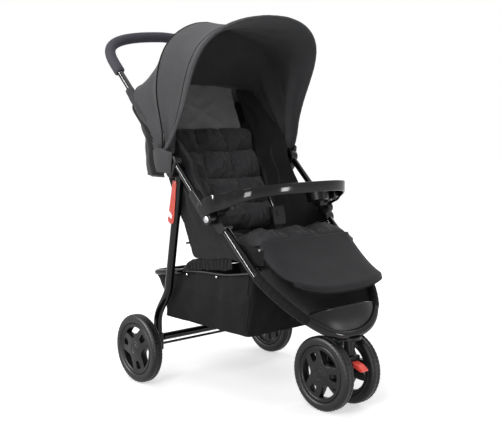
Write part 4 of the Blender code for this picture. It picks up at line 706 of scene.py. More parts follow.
def rim_blank(outward):
    """One moulded rim round the x axis: a dished web with three broad slotted spokes and a capped hub."""
    half = TYRE_WIDTH / 2
    rim_radius = WHEEL_RADIUS - TYRE_DEPTH - 0.0003
    profile = (
        (0.0, 0.0045), (0.013, 0.0045), (0.013, 0.0), (0.018, 0.0), (0.018, 0.013), (0.017, 0.014),
        (0.017, 0.015), (0.0178, 0.0158), (0.0176, 0.0225), (0.0168, 0.0232), (0.0168, 0.024), (0.016, 0.033),
        (0.0136, 0.048), (0.0124, 0.0655), (0.0126, 0.068), (0.014, 0.069), (0.0146, 0.0705), (0.0146, 0.074),
        (0.0138, rim_radius), (-0.0136, rim_radius), (-0.0142, 0.074), (-0.0142, 0.0705), (-0.0136, 0.069),
        (-0.006, 0.0675), (-0.005, 0.048), (-0.004, 0.03), (-0.004, 0.0195), (-half, 0.019), (-half, 0.0045),
    )
    obj = turned("rim_blank", Vector((0, 0, 0)), Vector((1, 0, 0)), profile, NYLON, 96, 30)
    for turn in turns(3):
        for outline in (spoke_slot(turn), spoke_window(turn + pi / 3)):
            cut_out(obj, skin("cutter", [[(x, a, b) for a, b in outline] for x in (-0.05, 0.05)], NYLON))
    rounded(obj, 0.0009, 2, 35)
    if outward < 0:
        obj.data.transform(Matrix.Diagonal((-1, 1, 1, 1)))
        obj.data.flip_normals()
    return obj


def wheels():
    """Four wheels: an EVA tyre on a three-spoked rim each."""
    blanks = {1: rim_blank(1), -1: rim_blank(-1)}
    for end, y, track, phase in (("rear", 0, REAR_TRACK, 15), ("front", -WHEELBASE, FRONT_TRACK, 60)):
        for label, sign in SIDES:
            body = f"{end}_wheel_{label}"
            x, hub = sign * track / 2, (y, WHEEL_RADIUS)
            tyre = boss(f"{end}_tyre_{label}", x, hub, tyre_profile(), TYRE, 216, 50)
            cut_tread(tyre, place(x, hub))
            fit(tyre, body, "tyre_eva", f"tyre_{end}_{label}")
            rim = bpy.data.objects.new(f"{end}_rim_{label}", blanks[sign].data.copy())
            rim.data.transform(Matrix.Translation(place(x, hub)) @ Matrix.Rotation(radians(phase), 4, "X"))
            bpy.context.scene.collection.objects.link(rim)
            fit(rim, body, "black_plastic", f"rim_{end}_{label}")
    for blank in blanks.values():
        bpy.data.objects.remove(blank)


# Red levers


def levers():
    """The fold hook with its rivet and the swivel lock, with softened edges."""
    pivot = LEG_PIVOT + 0.036 * LEG_DIR + Vector((0.005, 0))
    lean, broader = radians(9), 1.18
    corners = []
    for a, b in (
        (0.0075, 0.004), (0.004, 0.008), (-0.004, 0.008), (-0.0075, 0.004),
        (-0.0085, -0.03), (-0.0115, -0.078), (-0.0105, -0.084), (0.0, -0.092),
        (0.002, -0.1), (-0.002, -0.106), (-0.01, -0.1), (-0.0135, -0.104), (-0.013, -0.112),
        (-0.006, -0.119), (0.003, -0.119), (0.0095, -0.113), (0.0105, -0.1), (0.0095, -0.07),
    ):
        y = -a * broader * cos(lean) - b * sin(lean)
        z = b * cos(lean) - a * broader * sin(lean)
        corners.append(Vector((pivot.x + y, pivot.y + z, 0)))
    outline = [p.xy for p in spline(corners + corners[:1], 90)[:-1]]
    inner = LEG_X + LEG_RADIUS + 0.0003
    outer = inner + 0.0026
    hook = extruded("red_fold_hook", outline, -inner, -outer, RED, 0.0007)
    fit(hook, "hook", "red_plastic", "fold_hook")
    profile = ((0, 0), (0, 0.004), (0.0006, 0.004), (0.0014, 0.0024), (0.0016, 0))
    fit(boss("hook_rivet_head", -outer, pivot, profile, RED), "rear_legs", "red_plastic")
    shape = (
        (0.0055, 0.004), (0, 0.006), (-0.02, 0.001), (-0.036, -0.01), (-0.037, -0.015),
        (-0.03, -0.017), (-0.012, -0.011), (0, -0.006), (0.0055, -0.004),
    )
    outline = [LOCK_PIVOT + Vector(p) for p in shape]
    # The lever takes the lighter copy of the hook's red, painted against the shade it sits in
    lever = extruded("red_swivel_lever", outline, -LOCK_HALF, LOCK_HALF, LEVER_RED_LIGHTENED_FOR_SHADE, 0.0018)
    fit(lever, "lock_lever", "red_plastic", "swivel_lock")


# Tray and foot rest


def tray_top(y):
    """The height of the lip's top edge, which climbs to the front."""
    return TRAY_TOP + TRAY_LIFT * (TRAY_REAR - y)


def tray_bottom(y):
    """The height of the lip's lower edge, which drops towards the arms."""
    share = min(1.0, max(0.0, (y - TRAY_FRONT) / (FOLD_PIVOT.x + 0.01 - TRAY_FRONT)))
    return tray_top(y) - TRAY_LIP - 0.034 * share**1.6


def tray_plan(turn, inset):
    """A point of the tray's outline in plan, moved in by inset."""
    power = 2 / TRAY_EXPONENT
    x = (TRAY_HALF - inset) * copysign(abs(sin(turn)) ** power, sin(turn))
    return x, TRAY_REAR - (TRAY_REAR - TRAY_FRONT - inset) * abs(cos(turn)) ** power


def arm(x, y):
    """Swings the tray's arms out past the fold housings and ends them in front of the fold bolts."""
    if y < ARM_BEND:
        return x, y
    back = ARM_BEND + (y - ARM_BEND) * (ARM_END - ARM_BEND) / (TRAY_REAR - ARM_BEND)
    return x + copysign(ARM_SWING * step_up(ARM_BEND, ARM_OUT, back), x), back


def arm_round(y):
    """How deep an arm is near its rounded end, from 0 at the very end to 1."""
    return sqrt(max(0.0, 1 - (1 - min(1.0, (ARM_END - y) / 0.026)) ** 2))


def tray():
    """The tray's lip with a rolled top edge, its deck, the cup well and the two posts under its arms."""
    wall = TRAY_WALL / 2
    loops = []
    for share in shares(120):
        turn = pi * (share - 0.5) * 0.996
        (x_out, y_out), (x_in, y_in) = (arm(*tray_plan(turn, inset)) for inset in (0, TRAY_WALL))
        high, low = tray_top(y_out), tray_bottom(y_out) + 0.006 * step_up(-0.36, -0.31, y_out)
        middle = high - 0.024 if high - low > 0.048 else (high + low) / 2
        squeeze = 0.12 + 0.88 * arm_round(y_out)
        loop = []
        for edge, way in ((high, 1), (low, -1)):
            for bend in (pi * step for step in shares(6)):
                side = 0.5 - way * 0.5 * cos(bend)
                z = middle + (edge - middle) * squeeze + way * (wall * sin(bend) - wall)
                loop.append(place(x_out + (x_in - x_out) * side, (y_out + (y_in - y_out) * side, z)))
        loops.append(loop)
    fit(skin("tray_lip", loops, GLOSS, 50), "tray", "gloss_black_plastic", "tray")
    tray_deck()
    for label, sign in SIDES:
        y, front = -0.324, -0.367
        outline = [(at, tray_top(at) - 0.006) for at in (y, front)]
        outline += [(at, tray_bottom(at) + 0.004) for at in (front, y)]
        post = extruded("tray_socket_" + label, outline, sign * 0.19, sign * 0.2125, NYLON, 0.0015)
        fit(post, "tray", "black_plastic")


def tray_deck():
    """The deck inside the lip, with a rounded rear edge, and the cup well in its hole."""

    def pair(along, share):
        x, y = tray_plan(pi * (along - 0.5) * 0.94, TRAY_WALL * 0.5)
        rear = max(TRAY_REAR - 0.072 + 0.04 * (abs(x) / TRAY_HALF) ** 2, y + 0.004)
        where = y + share * (rear - y)
        level = tray_top(where) - DECK_DROP
        round_off = 0.0016 * max(0.0, 1 - (rear - where) / 0.004) ** 2
        fillet = 0.004 * max(0.0, 1 - (where - y) / 0.01) ** 2
        return place(x, (where, level - round_off + fillet)), place(x, (where, level - 0.0035 + round_off))

    deck = block("tray_deck", grid_of(96, 12, pair), GLOSS)
    normal = Vector((0, TRAY_LIFT, 1)).normalized()
    centre = place(CUP_X, (CUP_Y, tray_top(CUP_Y) - DECK_DROP))
    hole = swept("cutter", [centre - 0.02 * normal, centre + 0.02 * normal], CUP_RADIUS + 0.0006, GLOSS, 64)
    fit(cut_out(deck, hole), "tray", "gloss_black_plastic")
    profile = (
        (0.0, 0.0402), (0.0014, 0.0402), (0.0024, 0.0392), (0.0026, 0.0372), (0.002, 0.0345), (0.0, 0.033),
        (-0.03, 0.03), (-0.0358, 0.0285), (-0.037, 0.026), (-0.037, 0), (-0.04, 0), (-0.04, 0.029),
        (-0.038, 0.0315), (0.0, 0.0358),
    )
    well = turned("cup_well", centre + 0.0003 * normal, normal, profile, NYLON, 72)
    fit(well, "tray", "gloss_black_plastic", "cup_holder")


def bow_at(x, path):
    """The point of the front bow's centre line at a distance to the side."""
    half = path[:len(path) // 2 + 1]
    start, end = [(a, b) for a, b in zip(half, half[1:]) if a.x >= abs(x) >= b.x][-1]
    point = start.lerp(end, (start.x - abs(x)) / (start.x - end.x))
    return Vector((x, point.y, point.z))


def footplate():
    """The curved foot rest, which stands on the bow, and its glossy top edge."""
    path = front_tube_path()

    def pair(share, along):
        x = FOOTPLATE_WIDE * (2 * along - 1)
        bend = (x / FOOTPLATE_WIDE) ** 4
        base = bow_at(x, path) + Vector((0, 0, 0.006))
        rise = share * (FOOTPLATE_TOP - 0.012 * bend - base.z)
        belly = 0.004 * sin(pi * share) * (1 - bend)
        point = base + Vector((0, 0.3 * rise - belly, rise))
        return point, point + Vector((0, FOOTPLATE_WALL, 0))

    pairs = grid_of(12, 64, pair)
    plate = rounded(block("foot_rest_plate", pairs, NYLON), 0.0012)
    fit(plate, "frame", "black_plastic", "footplate")
    edge = swept("foot_rest_edge", [p + Vector((0, 0.002, 0.001)) for p, _ in pairs[-1]], 0.0026, GLOSS, 16)
    fit(edge, "frame", "gloss_black_plastic")


# Canopy

ROOF_ROWS = 18


def rear_edge_line(steps):
    """The roof's rear edge, which runs up outside the handle and across in front of it."""
    side = MID_BOW_X + BOW_RADIUS
    low = [place(side, CANOPY_PIVOT)]
    low += [place(side - inset, (handle_y(z) - 0.004, z)) for inset, z in ((0.003, 0.712), (0.007, 0.76))]
    bend = [(side - 0.008, handle_y(0.8) - 0.004, 0.8), (side - 0.008, 0.03, 0.846), (side - 0.008, 0.062, 0.884)]
    bend += [(0.2, 0.048, 0.888), (0.15, 0.052, 0.892), (0.08, 0.058, 0.893), (0, 0.058, 0.893)]
    return mirrored(resample(low + bezier([place(x, (y, z)) for x, y, z in bend], 16), steps))


def roof_grid(offset, sag, fold_front, fold_rear, seed):
    """The roof from the front bow over the middle bow to the rear edge, moved out from the wires by offset."""
    rim, rib, rear = (line[2:-2] for line in (bent_line(FRONT_BOW), bent_line(MID_BOW), rear_edge_line(60)))
    spans = [(rim, rib, share, 1.0, fold_front) for share in shares(ROOF_ROWS)]
    spans += [(rib, rear, share, 0.6, fold_rear) for share in shares(ROOF_ROWS)[1:]]
    grid = [[a.lerp(b, share) for a, b in zip(first, second)] for first, second, share, _, _ in spans]
    made = []
    for row, out, (_, _, share, drop, fold) in zip(grid, normals_of(grid, Vector((0, 0.08, 0.8))), spans):
        belly = sin(pi * share)
        line = []
        for i, point in enumerate(row):
            low = step_up(0.25, 0.9, abs(2 * i / (len(row) - 1) - 1))
            waves = sin(share * 13.0 + 1.4 * ripple(point, 0.12, seed) + seed)
            height = offset - sag * drop * belly + fold * belly * low * waves
            height += 0.35 * fold * belly * ripple(point, 0.045, seed + 3)
            line.append(point + height * out[i])
        made.append(line)
    return made


def hem_crease(share, turn):
    """Small gathers where the hem is pulled over the wire."""
    return 0.00035 * sin(share * 420) * sin(turn)


def roof():
    """The canopy's cloth and its lining, each one sheet, and their seams; only the front hem turns with the front bow.
    """
    grid = roof_grid(0.0045, 0.015, 0.001, 0.0018, 1.0)
    outer = cloth("hood_cloth", grid, HOOD_CLOTH)
    lining_grid = roof_grid(-0.005, 0.017, 0.009, 0.009, 5.0)
    lining = cloth("hood_lining", lining_grid, LINING_CLOTH)
    rib = swept("hood_rib_piping", grid[ROOF_ROWS], 0.0026, BASKET_CLOTH, 10)
    rim = swept("hood_rim_piping", grid[3], 0.0021, BASKET_CLOTH, 10)
    hem = swept("hood_front_hem", bent_line(FRONT_BOW)[3:-3], 0.0058, LINING_CLOTH, 20, hem_crease)
    hem.data.materials.append(HOOD_CLOTH)
    for face in hem.data.polygons:
        face.material_index = int(face.normal.x * copysign(1, face.center.x) > 0.3)
    fit(hem, "canopy_front", "grey_black_polyester")
    binding = swept("hood_rear_binding", [p + Vector((0, 0.003, 0.0)) for p in grid[-1]], 0.0026, HOOD_CLOTH, 10)
    for slot, pieces in (("grey_black_polyester", (outer, binding)), ("black_polyester", (lining, rib, rim))):
        for obj in pieces:
            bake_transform(obj)
    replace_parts(outer, "canopy_front_panel", "canopy_rear_panel")
    for obj, lines in ((outer, grid), (lining, lining_grid)):
        declare_sheet(obj, lines)


SKIRT_X, SKIRT_FRONT, SKIRT_TOP = 0.2398, -0.108, 0.822
SKIRT_ROWS = 34
# Each level of the skirt: its height, where its corner is, and how far its back is from the middle and behind
SKIRT_LEVELS = (
    (0.812, 0.022, 0.232, 0.058), (0.76, -0.006, 0.204, 0.056), (0.712, -0.026, 0.188, 0.05),
    (0.655, -0.03, 0.19, 0.047), (0.62, -0.044, 0.184, 0.045),
)


def skirt_level(z, corner, x_back, back):
    """Half of the skirt's line at a height, from its front edge round the slanted corner to the middle."""
    front = min(max(handle_y(z) + 0.004, SKIRT_FRONT), corner - 0.016)
    half = (
        (SKIRT_X, front), (SKIRT_X, corner - 0.008), (SKIRT_X - 0.003, corner), (x_back + 0.004, back - 0.006),
        (x_back - 0.004, back), (x_back - 0.06, back + 0.006), (0, back + 0.006),
    )
    return resample([place(x, (y, z)) for x, y in half], 40)


def skirt():
    """The cloth behind the seat that closes the canopy's back and sides, with a bound lower hem."""
    half = rear_edge_line(120)[:121]
    start = next(k for k, p in enumerate(half) if p.z > SKIRT_TOP)
    top = resample(half[start:], 40)
    levels = [skirt_level(*level) for level in SKIRT_LEVELS]
    middle = []
    for a, b in zip(top, levels[0]):
        between = a.lerp(b, 0.5)
        middle.append(between + Vector((0, 0.01 * step_up(0.0, 0.06, SKIRT_X - abs(between.x)), 0)))
    grid = lofted([mirrored(line) for line in [top, middle] + levels], SKIRT_ROWS)
    made = []
    for row, out, share in zip(grid, normals_of(grid, Vector((0, 0.08, 0.75))), shares(SKIRT_ROWS)):
        line = []
        for i, point in enumerate(row):
            hang = sin(i * 0.33 + 2.2 * ripple(point, 0.1, 9)) * (0.25 + 0.75 * share)
            back = step_up(0.0, 0.05, SKIRT_X - abs(point.x))
            height = 0.0035 * hang * back + 0.0016 * ripple(point, 0.03, 4) * (0.4 + back)
            line.append(point + (height + 0.0012) * out[i])
        made.append(line)
    obj = cloth("hood_skirt", made, HOOD_CLOTH)
    # The skirt's rear-facing band takes the darkest black cloth as painted shade, for the side that faces away from the
    # lamps
    obj.data.materials.append(BASKET_CLOTH)
    for face in obj.data.polygons:
        z = face.center.z
        edge = -0.052 + (z - 0.736) * (0.62 if z > 0.736 else 0.2) - 0.9 * max(0.0, 0.668 - z)
        face.material_index = int(face.center.y - REAR_AXLE_Y > min(edge, 0.0) and z < 0.835)
    hem = swept("skirt_hem", made[-1], 0.0024, HOOD_CLOTH, 10)
    fit(obj, "handle", "grey_black_polyester", "canopy_skirt")
    fit(hem, "handle", "grey_black_polyester")
    for soft in (obj, hem):
        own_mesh(soft)
    declare_sheet(obj, made)


def wrap_crease(share, turn):
    """The wrinkles of the cloth tied round the handle."""
    twist = sin(15 * share + 2.0 * sin(turn) + 3 * ripple((share, cos(turn), sin(turn)), 0.4))
    return 0.0011 * twist - 0.003 * step_up(0.45, 1.0, share) - 0.006 * (1 - step_up(0.0, 0.3, share))


def canopy_ends():
    """On each side, the cloth tied round the handle and the corner that covers the upper joint."""
    for label, sign in SIDES:
        x, levels = sign * (HANDLE_X + 0.004), (0.752, 0.78, 0.81, 0.84, 0.868)
        line = spline([place(x, (handle_y(z) + 0.002, z)) for z in levels], 90)
        wrap = swept("handle_wrap_" + label, line, 0.016, WRAP_CLOTH, 32, wrap_crease)
        fit(wrap, "handle", "grey_black_polyester")

        def point(v, u):
            arch = sin(pi * u)
            y = -0.151 + 0.087 * u + 0.01 * v * (0.5 - u) * 2
            z = 0.69 + 0.013 * arch * (1 - v) - 0.058 * v
            return place(sign * (SKIRT_X + 0.0025 + 0.0175 * arch**0.5 * (1 - v**4)), (y, z))

        cover = grid_of(20, 20, point)
        patch = cloth("hood_corner_" + label, cover, HOOD_CLOTH)
        fit(patch, "handle", "grey_black_polyester")
        declare_sheet(patch, cover)


def head_panel():
    """The plain cloth across the back above the seat's padding, creased where it is pulled to its corners."""

    def creased(v, along):
        u = 2 * along - 1
        y = -0.008 + 0.068 * v - 0.006 * (1 - u * u) * sin(pi * v)
        point = place(u * 0.148, (y, 0.718 + 0.17 * v - 0.01 * v * u * u))
        cross = abs(abs(u) - abs(2 * v - 1))
        crease = 0.0075 * exp(-(cross / 0.1) ** 2) * (0.5 + 0.5 * ripple(point, 0.05, 2))
        lump = 0.005 * ripple(point, 0.04, 7) + 0.002 * ripple(point, 0.016, 8)
        return point - Vector((0, crease + lump, 0))

    grid = grid_of(40, 60, creased)
    obj = cloth("head_panel", grid, HEAD_CLOTH)
    fit(obj, "handle", "black_polyester")
    declare_sheet(obj, grid)


# Seat


def axes(start, end):
    """The unit vectors along a board and up from it, and its length."""
    along = (end - start).normalized()
    return along, Vector((-along.y, along.x)), (end - start).length


def tufts(u, v, columns, rows):
    """The height, from 0 to 1, of a quilted pad at shares u and v across it."""
    first, second = (abs(sin(pi * turn)) ** 0.55 for turn in (columns * u, rows * v))
    return 0.3 + 0.7 * first * second


def pad(name, board, shift, cut, tuft_rows, corner, steps, seed, roll):
    """A quilted pad with a flat back, a crowned and tufted face, and creases that run from its seams."""
    along, up, length = axes(*board)
    origin = board[0] + 0.0063 * up + shift * along
    length -= cut
    half, thickness, crush, edge = SEAT_HALF + 0.005, CUSHION + 0.012, 0.008, 0.022

    def pair(v, u):
        end = min(v, 1 - v) * length
        width = half - (corner - sqrt(max(0.0, corner**2 - max(0.0, corner - end) ** 2)))
        x = (2 * u - 1) * width
        rim = min(1.0, min(u, 1 - u) * 2 * half / edge, (1 - v) * length / edge, v * length / roll)
        crown = 0.22 + 0.78 * sqrt(max(0.0, rim * (2 - rim)))
        spot = (x, v * length, 0)
        bend_u = u + 0.03 * ripple(spot, 0.07, seed) * rim
        bend_v = v + 0.035 * ripple(spot, 0.08, seed + 5) * rim
        height = thickness * crown * tufts(bend_u, bend_v, 3, tuft_rows)
        crease = 1 - abs(ripple((x * 1.6, v * length * 0.9, 0), 0.034, seed + 9)) * 2.2
        height += crush * rim * (0.75 * max(0.0, crease) ** 2 - 0.55 + 0.6 * ripple(spot, 0.021, seed + 2))
        base = origin + v * length * along
        return place(x, base + max(0.003, height) * up), place(x, base)

    return block(name, grid_of(steps, 150, pair), SEAT_CLOTH, 70)


def seat():
    """The seat's and the backrest's quilted pads, the cloth behind them and the strap between the legs."""
    cushion = pad("seat_padding", (SEAT_FRONT, SEAT_REAR), -0.014, 0.01, 2, 0.014, 110, 3.0, 0.012)
    fit(cushion, "frame", "black_polyester", "seat_cushion")
    backrest = pad("back_padding", (BACK_BASE, BACK_TOP), 0.02, 0.05, 4, 0.04, 160, 6.0, 0.022)
    fit(backrest, "backrest", "black_polyester", "backrest_cushion")
    back_cover(*axes(BACK_BASE, BACK_TOP))
    strap(*axes(SEAT_FRONT, SEAT_REAR))


def back_cover(along, up, length):
    """The loose cloth behind the backrest board."""

    def folded(v, share):
        u = 2 * share - 1
        belly = 0.014 * sin(pi * min(1.0, v * 1.1)) * (1 - u**4) + 0.004
        base = BACK_BASE + (v * (length + 0.005) - 0.017) * along - (0.0035 + belly) * up
        point = place(u * (0.1772 + 0.0063 * (1 - step_up(0.1, 0.4, v))), base + 0.026 * abs(u) ** 6 * up)
        fold = 0.003 * sin(26.4 * share + 2 * ripple(point, 0.09, 3)) + 0.002 * ripple(point, 0.03, 6)
        return point - 0.8 * fold * sin(pi * v) ** 0.5 * Vector((0, up.x, up.y))

    grid = grid_of(40, 48, folded)
    obj = cloth("back_cover", grid, BASKET_CLOTH)
    fit(obj, "backrest", "black_polyester")
    declare_sheet(obj, grid)


def strap(along, up, length):
    """The crotch strap: flat webbing that stands a little bowed."""
    base = SEAT_FRONT + 0.34 * length * along + (BOARD + 0.0003) * up

    def pair(v, u):
        centre, bow = base + 0.066 * v * up, 0.0004 * sin(16.8 * v)
        return [place(-0.015 + 0.03 * u, centre + (bow + half) * along) for half in (-0.0009, 0.0009)]

    fit(block("crotch_webbing", grid_of(24, 8, pair), TAPE), "frame", "black_polyester", "crotch_strap")


SEAT_SIDE_LOW = (
    (-0.458, 0.396), (-0.425, 0.394), (-0.4, 0.395), (-0.37, 0.398), (-0.317, 0.402), (-0.255, 0.392),
    (-0.205, 0.388), (-0.166, 0.394), (-0.145, 0.452), (-0.1, 0.52), (-0.04, 0.64), (0.005, 0.74), (0.052, 0.876),
)
SEAT_SIDE_HIGH = (
    (-0.456, 0.438), (-0.428, 0.446), (-0.398, 0.446), (-0.362, 0.452), (-0.322, 0.49), (-0.27, 0.54),
    (-0.235, 0.57), (-0.206, 0.61), (-0.176, 0.66), (-0.14, 0.72), (-0.07, 0.79), (0.03, 0.872),
)


def side_curtains():
    """The cloth sides of the seat, which hang in folds between the handle and the padding."""
    low, high = (spline([place(0, p) for p in line], 90) for line in (SEAT_SIDE_LOW, SEAT_SIDE_HIGH))
    for label, sign in SIDES:
        grid = []
        for v in shares(24):
            row = []
            for i, (a, b) in enumerate(zip(low, high)):
                point = a.lerp(b, v)
                x = 0.184 + 0.024 * step_up(0.655, 0.74, point.z) * v
                x -= 0.012 * step_up(0.74, 0.86, point.z) * (1 - 0.3 * v)
                x -= 0.009 * step_up(0.436, 0.454, REAR_AXLE_Y - point.y)
                fold = sin(11 * v + 2.4 * ripple(point, 0.16, 5) + sign) + 0.5 * sin(i * 0.5 + 7 * v)
                fold *= sin(pi * v) ** 0.7 * step_up(0.45, 0.58, point.z)
                reach = 0.006 * fold + 0.0014 * ripple(point, 0.03, 2)
                row.append(Vector((sign * (x - max(reach, -0.0015)), point.y, point.z)))
            grid.append(row)
        obj = cloth("seat_side_" + label, grid, SIDE_CLOTH)
        # The front end of each side curtain, under the seat's front, takes the darkest black cloth as painted shade
        obj.data.materials.append(BASKET_CLOTH)
        for face in obj.data.polygons:
            face.material_index = int(face.center.y - REAR_AXLE_Y < -0.392)
        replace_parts(obj, "side_panel_" + label)
        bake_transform(obj)
        declare_sheet(obj, grid)


def leg_rest():
    """The smooth padded apron in front of the seat, with a rounded lower edge and a piped rim."""
    along = Vector((-cos(LEG_REST_DROP), -sin(LEG_REST_DROP)))
    up = Vector((along.y, -along.x))
    start = LEG_REST_PIVOT - 0.011 * along - 0.0042 * up

    def pair(v, share):
        u = 2 * share - 1
        shorter, narrower = (0.24, 0.05) if u < 0 else (0.155, 0)
        reach = (LEG_REST_LENGTH + 0.019) * (1 - shorter * abs(u) ** 3)
        x = u * (SEAT_HALF + 0.012) * (1 - 0.03 * v**3 - narrower * v**8)
        curl = 0.012 * sin(pi * min(1.0, v * 1.1)) ** 0.8 + 0.009 * max(0.0, u) * v**3
        curl = -0.008 * max(0.0, (v - 0.93) / 0.07) ** 1.5 - abs(u) ** 6 * curl
        base = start + v * reach * along + curl * up
        edge = min(1.0, (1 - abs(u)) * SEAT_HALF / 0.032, v * LEG_REST_LENGTH / 0.012 + 0.35)
        edge = min(edge, (1 - v) * LEG_REST_LENGTH / 0.007)
        crown = sqrt(max(0.0, edge * (2 - edge)))
        height = (0.007 + 0.021 * (1 - v) ** 2) * (0.05 + 0.95 * crown)
        height += 0.0012 * ripple((x, v * 0.2, 0), 0.06, 3) * crown
        return place(x, base + height * up), place(x, base)

    pairs = grid_of(56, 80, pair)
    obj = block("leg_rest_padding", pairs, SMOOTH_CLOTH, 70)
    fit(obj, "leg_rest", "black_polyester", "leg_rest_pad")
    back = [[below for _, below in row] for row in pairs]
    rim = [row[0] for row in back[4:-1]] + back[-1] + [row[-1] for row in back[-2:3:-1]]
    rim = [p + 0.001 * Vector((0, up.x, up.y)) for p in rim]
    fit(swept("leg_rest_piping", rim, 0.0016, BASKET_CLOTH, 10), "leg_rest", "black_polyester")


def sleeve_crease(share, turn):
    """The gathers of the cloth sleeve on the front tube."""
    end = step_up(0.0, 0.02, share) * step_up(0.0, 0.02, 1 - share)
    return 0.0003 * sin(62 * share + 1.5 * sin(turn)) + 0.001 * end - 0.0012


def calf_cloth():
    """The cloth that hangs between the front tubes behind the foot rest, and the sleeves that hold it."""
    path = front_tube_path()
    half = [p for p in path[:len(path) // 2 + 1] if p.x > 0.128 and p.z < LINK_PIVOT.y + 0.006]
    rows = 36
    half = resample(half, rows)
    top, bottom = place(0, (-0.44, 0.392)), place(0, (-0.505, 0.262))

    def hung(v, along):
        u, edge = 1 - 2 * along, half[round(v * rows)]
        share = (1 - u * u) ** 0.75
        point = Vector((0, edge.y, edge.z)).lerp(top.lerp(bottom, v), share)
        fold = 0.0035 * sin(5 * u + 9 * v + 2 * ripple((u, v, 0), 0.5, 4)) * share
        return Vector((u * (edge.x - LEG_RADIUS * 0.6), point.y + fold, point.z))

    grid = grid_of(rows, 60, hung)
    obj = cloth("calf_cloth", grid, LINING_CLOTH)
    fit(obj, "frame", "black_polyester", "calf_panel")
    for label, sign in SIDES:
        line = resample([Vector((sign * p.x, p.y, p.z)) for p in half[4:]], 90)
        sleeve = swept("leg_sleeve_" + label, line, 0.0142, BASKET_CLOTH, 32, sleeve_crease)
        fit(sleeve, "frame", "black_polyester")
    declare_sheet(obj, grid)


# Basket

# The basket's top edge and the lower link above it, as (y, z) points
BASKET_RIM = (
    (-0.412, 0.372), (-0.3, 0.35), (-0.191, 0.345), (-0.108, 0.336), (-0.08, 0.33), (-0.007, 0.314),
    (0.046, 0.305),
)
LINK_HEIGHTS = [(y, z) for _, y, z in LINK_PATH[1:9]]
BASKET_ROWS = 30


def on_link(obj, slot="black_polyester"):
    """Hangs a piece of the basket on the lower link, so that it moves with the link."""
    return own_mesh(fit(obj, "link", slot))


def basket_loop(front, rear, half, corner, count):
    """A rounded rectangle in plan, from the middle of the rear round by the left side."""
    points = []
    for cy, cx, turn in (
        (rear - corner, half - corner, 0), (front + corner, half - corner, 1),
        (front + corner, -half + corner, 2), (rear - corner, -half + corner, 3),
    ):
        for angle in (pi / 2 * (turn + share) for share in shares(6)):
            points.append(Vector((cx + corner * sin(angle), cy + corner * cos(angle), 0)))
    return resample(points + points[:1], count)[:-1]


def basket():
    """The cloth basket: a sagging shell with a bound top edge and what is sewn on its sides."""
    bottom = BASKET_FLOOR - 0.004
    top = basket_loop(-0.41, 0.044, BASKET_HALF + 0.003, 0.022, 160)
    floor = basket_loop(-0.398, -0.013, BASKET_HALF + 0.014, 0.012, 160)
    grid = []
    for v in shares(BASKET_ROWS):
        row = []
        for i, (a, b) in enumerate(zip(top, floor)):
            high = height_at(BASKET_RIM, a.y)
            x, y, z = a.x + (b.x - a.x) * v, a.y + (b.y - a.y) * v, high + (bottom - high) * v
            out = 0.004 * sin(pi * min(1.0, v * 1.1)) ** 2
            out += 0.003 * sin(i * 0.5 + 3 * ripple((x, y, z), 0.08, 2)) * (1 - 0.6 * v)
            out += 0.003 * ripple((x, y, z), 0.035, 8)
            x *= 1 + out * 0.8 / BASKET_HALF
            y += out * (0.6 if y > -0.2 else -0.6) * step_up(0.0, 0.05, BASKET_HALF + 0.01 - abs(x))
            row.append(place(x, (y, z)))
        grid.append(row)
    middle = place(0, (-0.212, bottom))
    for share in shares(12)[-2::-1]:
        row = []
        for p in grid[BASKET_ROWS]:
            point = middle.lerp(p, max(share, 0.01))
            sag = 0.0015 * ripple(point, 0.05, 6) * (1 - share) - 0.0035 * (1 - share * share)
            row.append(Vector((point.x, point.y, p.z + sag)))
        grid.append(row)
    shell = cloth("basket_cloth", grid, BASKET_CLOTH, 0.0014, closed=True)
    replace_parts(on_link(shell), "basket")
    binding = on_link(swept("basket_binding", grid[0] + grid[0][:2], 0.0026, BASKET_CLOTH, 10))
    sewn = [binding]
    for label, sign in SIDES:
        sewn += basket_side(label, sign, grid)
    declare_sheet(shell, [row + row[:1] for row in grid])


def side_point(sign, y, v, grid):
    """The basket's side wall at a place along it and a share of the way down."""
    near = [p for p in grid[round(v * BASKET_ROWS)] if p.x * sign > BASKET_HALF * 0.96]
    return min(near, key=lambda p: abs(p.y - REAR_AXLE_Y - y))


def basket_side(label, sign, grid):
    """What is sewn on a side of the basket: a pocket, a seam, an elastic cord, two snaps and a gathered edge."""

    def pocket_point(along, down):
        high = 0.3 + 0.2 * (1 - along) + 0.06 * sin(pi * along)
        point = side_point(sign, -0.396 + 0.345 * along, high + (0.97 - high) * down, grid)
        belly = 0.0042 * sin(pi * down) * sin(pi * along) ** 0.5
        return point + Vector((sign * (0.0016 + belly), 0, 0))

    lines = grid_of(20, 12, pocket_point)
    pocket = on_link(cloth("side_pocket_" + label, lines, POCKET_CLOTH, 0.001))
    declare_sheet(pocket, lines)
    edge = [side_point(sign, -0.392, v, grid) + Vector((sign * 0.0012, 0, 0)) for v in shares(20)]
    made = [on_link(swept("front_edge_seam_" + label, edge, 0.0016, BASKET_CLOTH, 8))]
    cord = ((-0.424, 0.372), (-0.3, 0.352), (-0.191, 0.347), (-0.118, 0.34))
    cord = spline([place(sign * (LINK_X + 0.002), p) for p in cord], 40)
    made.append(on_link(swept("elastic_edge_" + label, cord, 0.0022, TAPE, 10)))
    profile = ((0, 0), (0, 0.0042), (0.0008, 0.0042), (0.002, 0.0032), (0.0024, 0.0015), (0.002, 0))
    for k, point in enumerate(((-0.118, 0.33), (-0.255, 0.34))):
        snap = boss(f"snap_{k}_{label}", sign * (BASKET_HALF + 0.0075), point, profile, ZINC)
        made.append(on_link(snap, "zinc_steel"))
    made.append(on_link(cloth("basket_gather_" + label, grid_of(80, 16, link_gather(sign)), BASKET_CLOTH)))
    return made


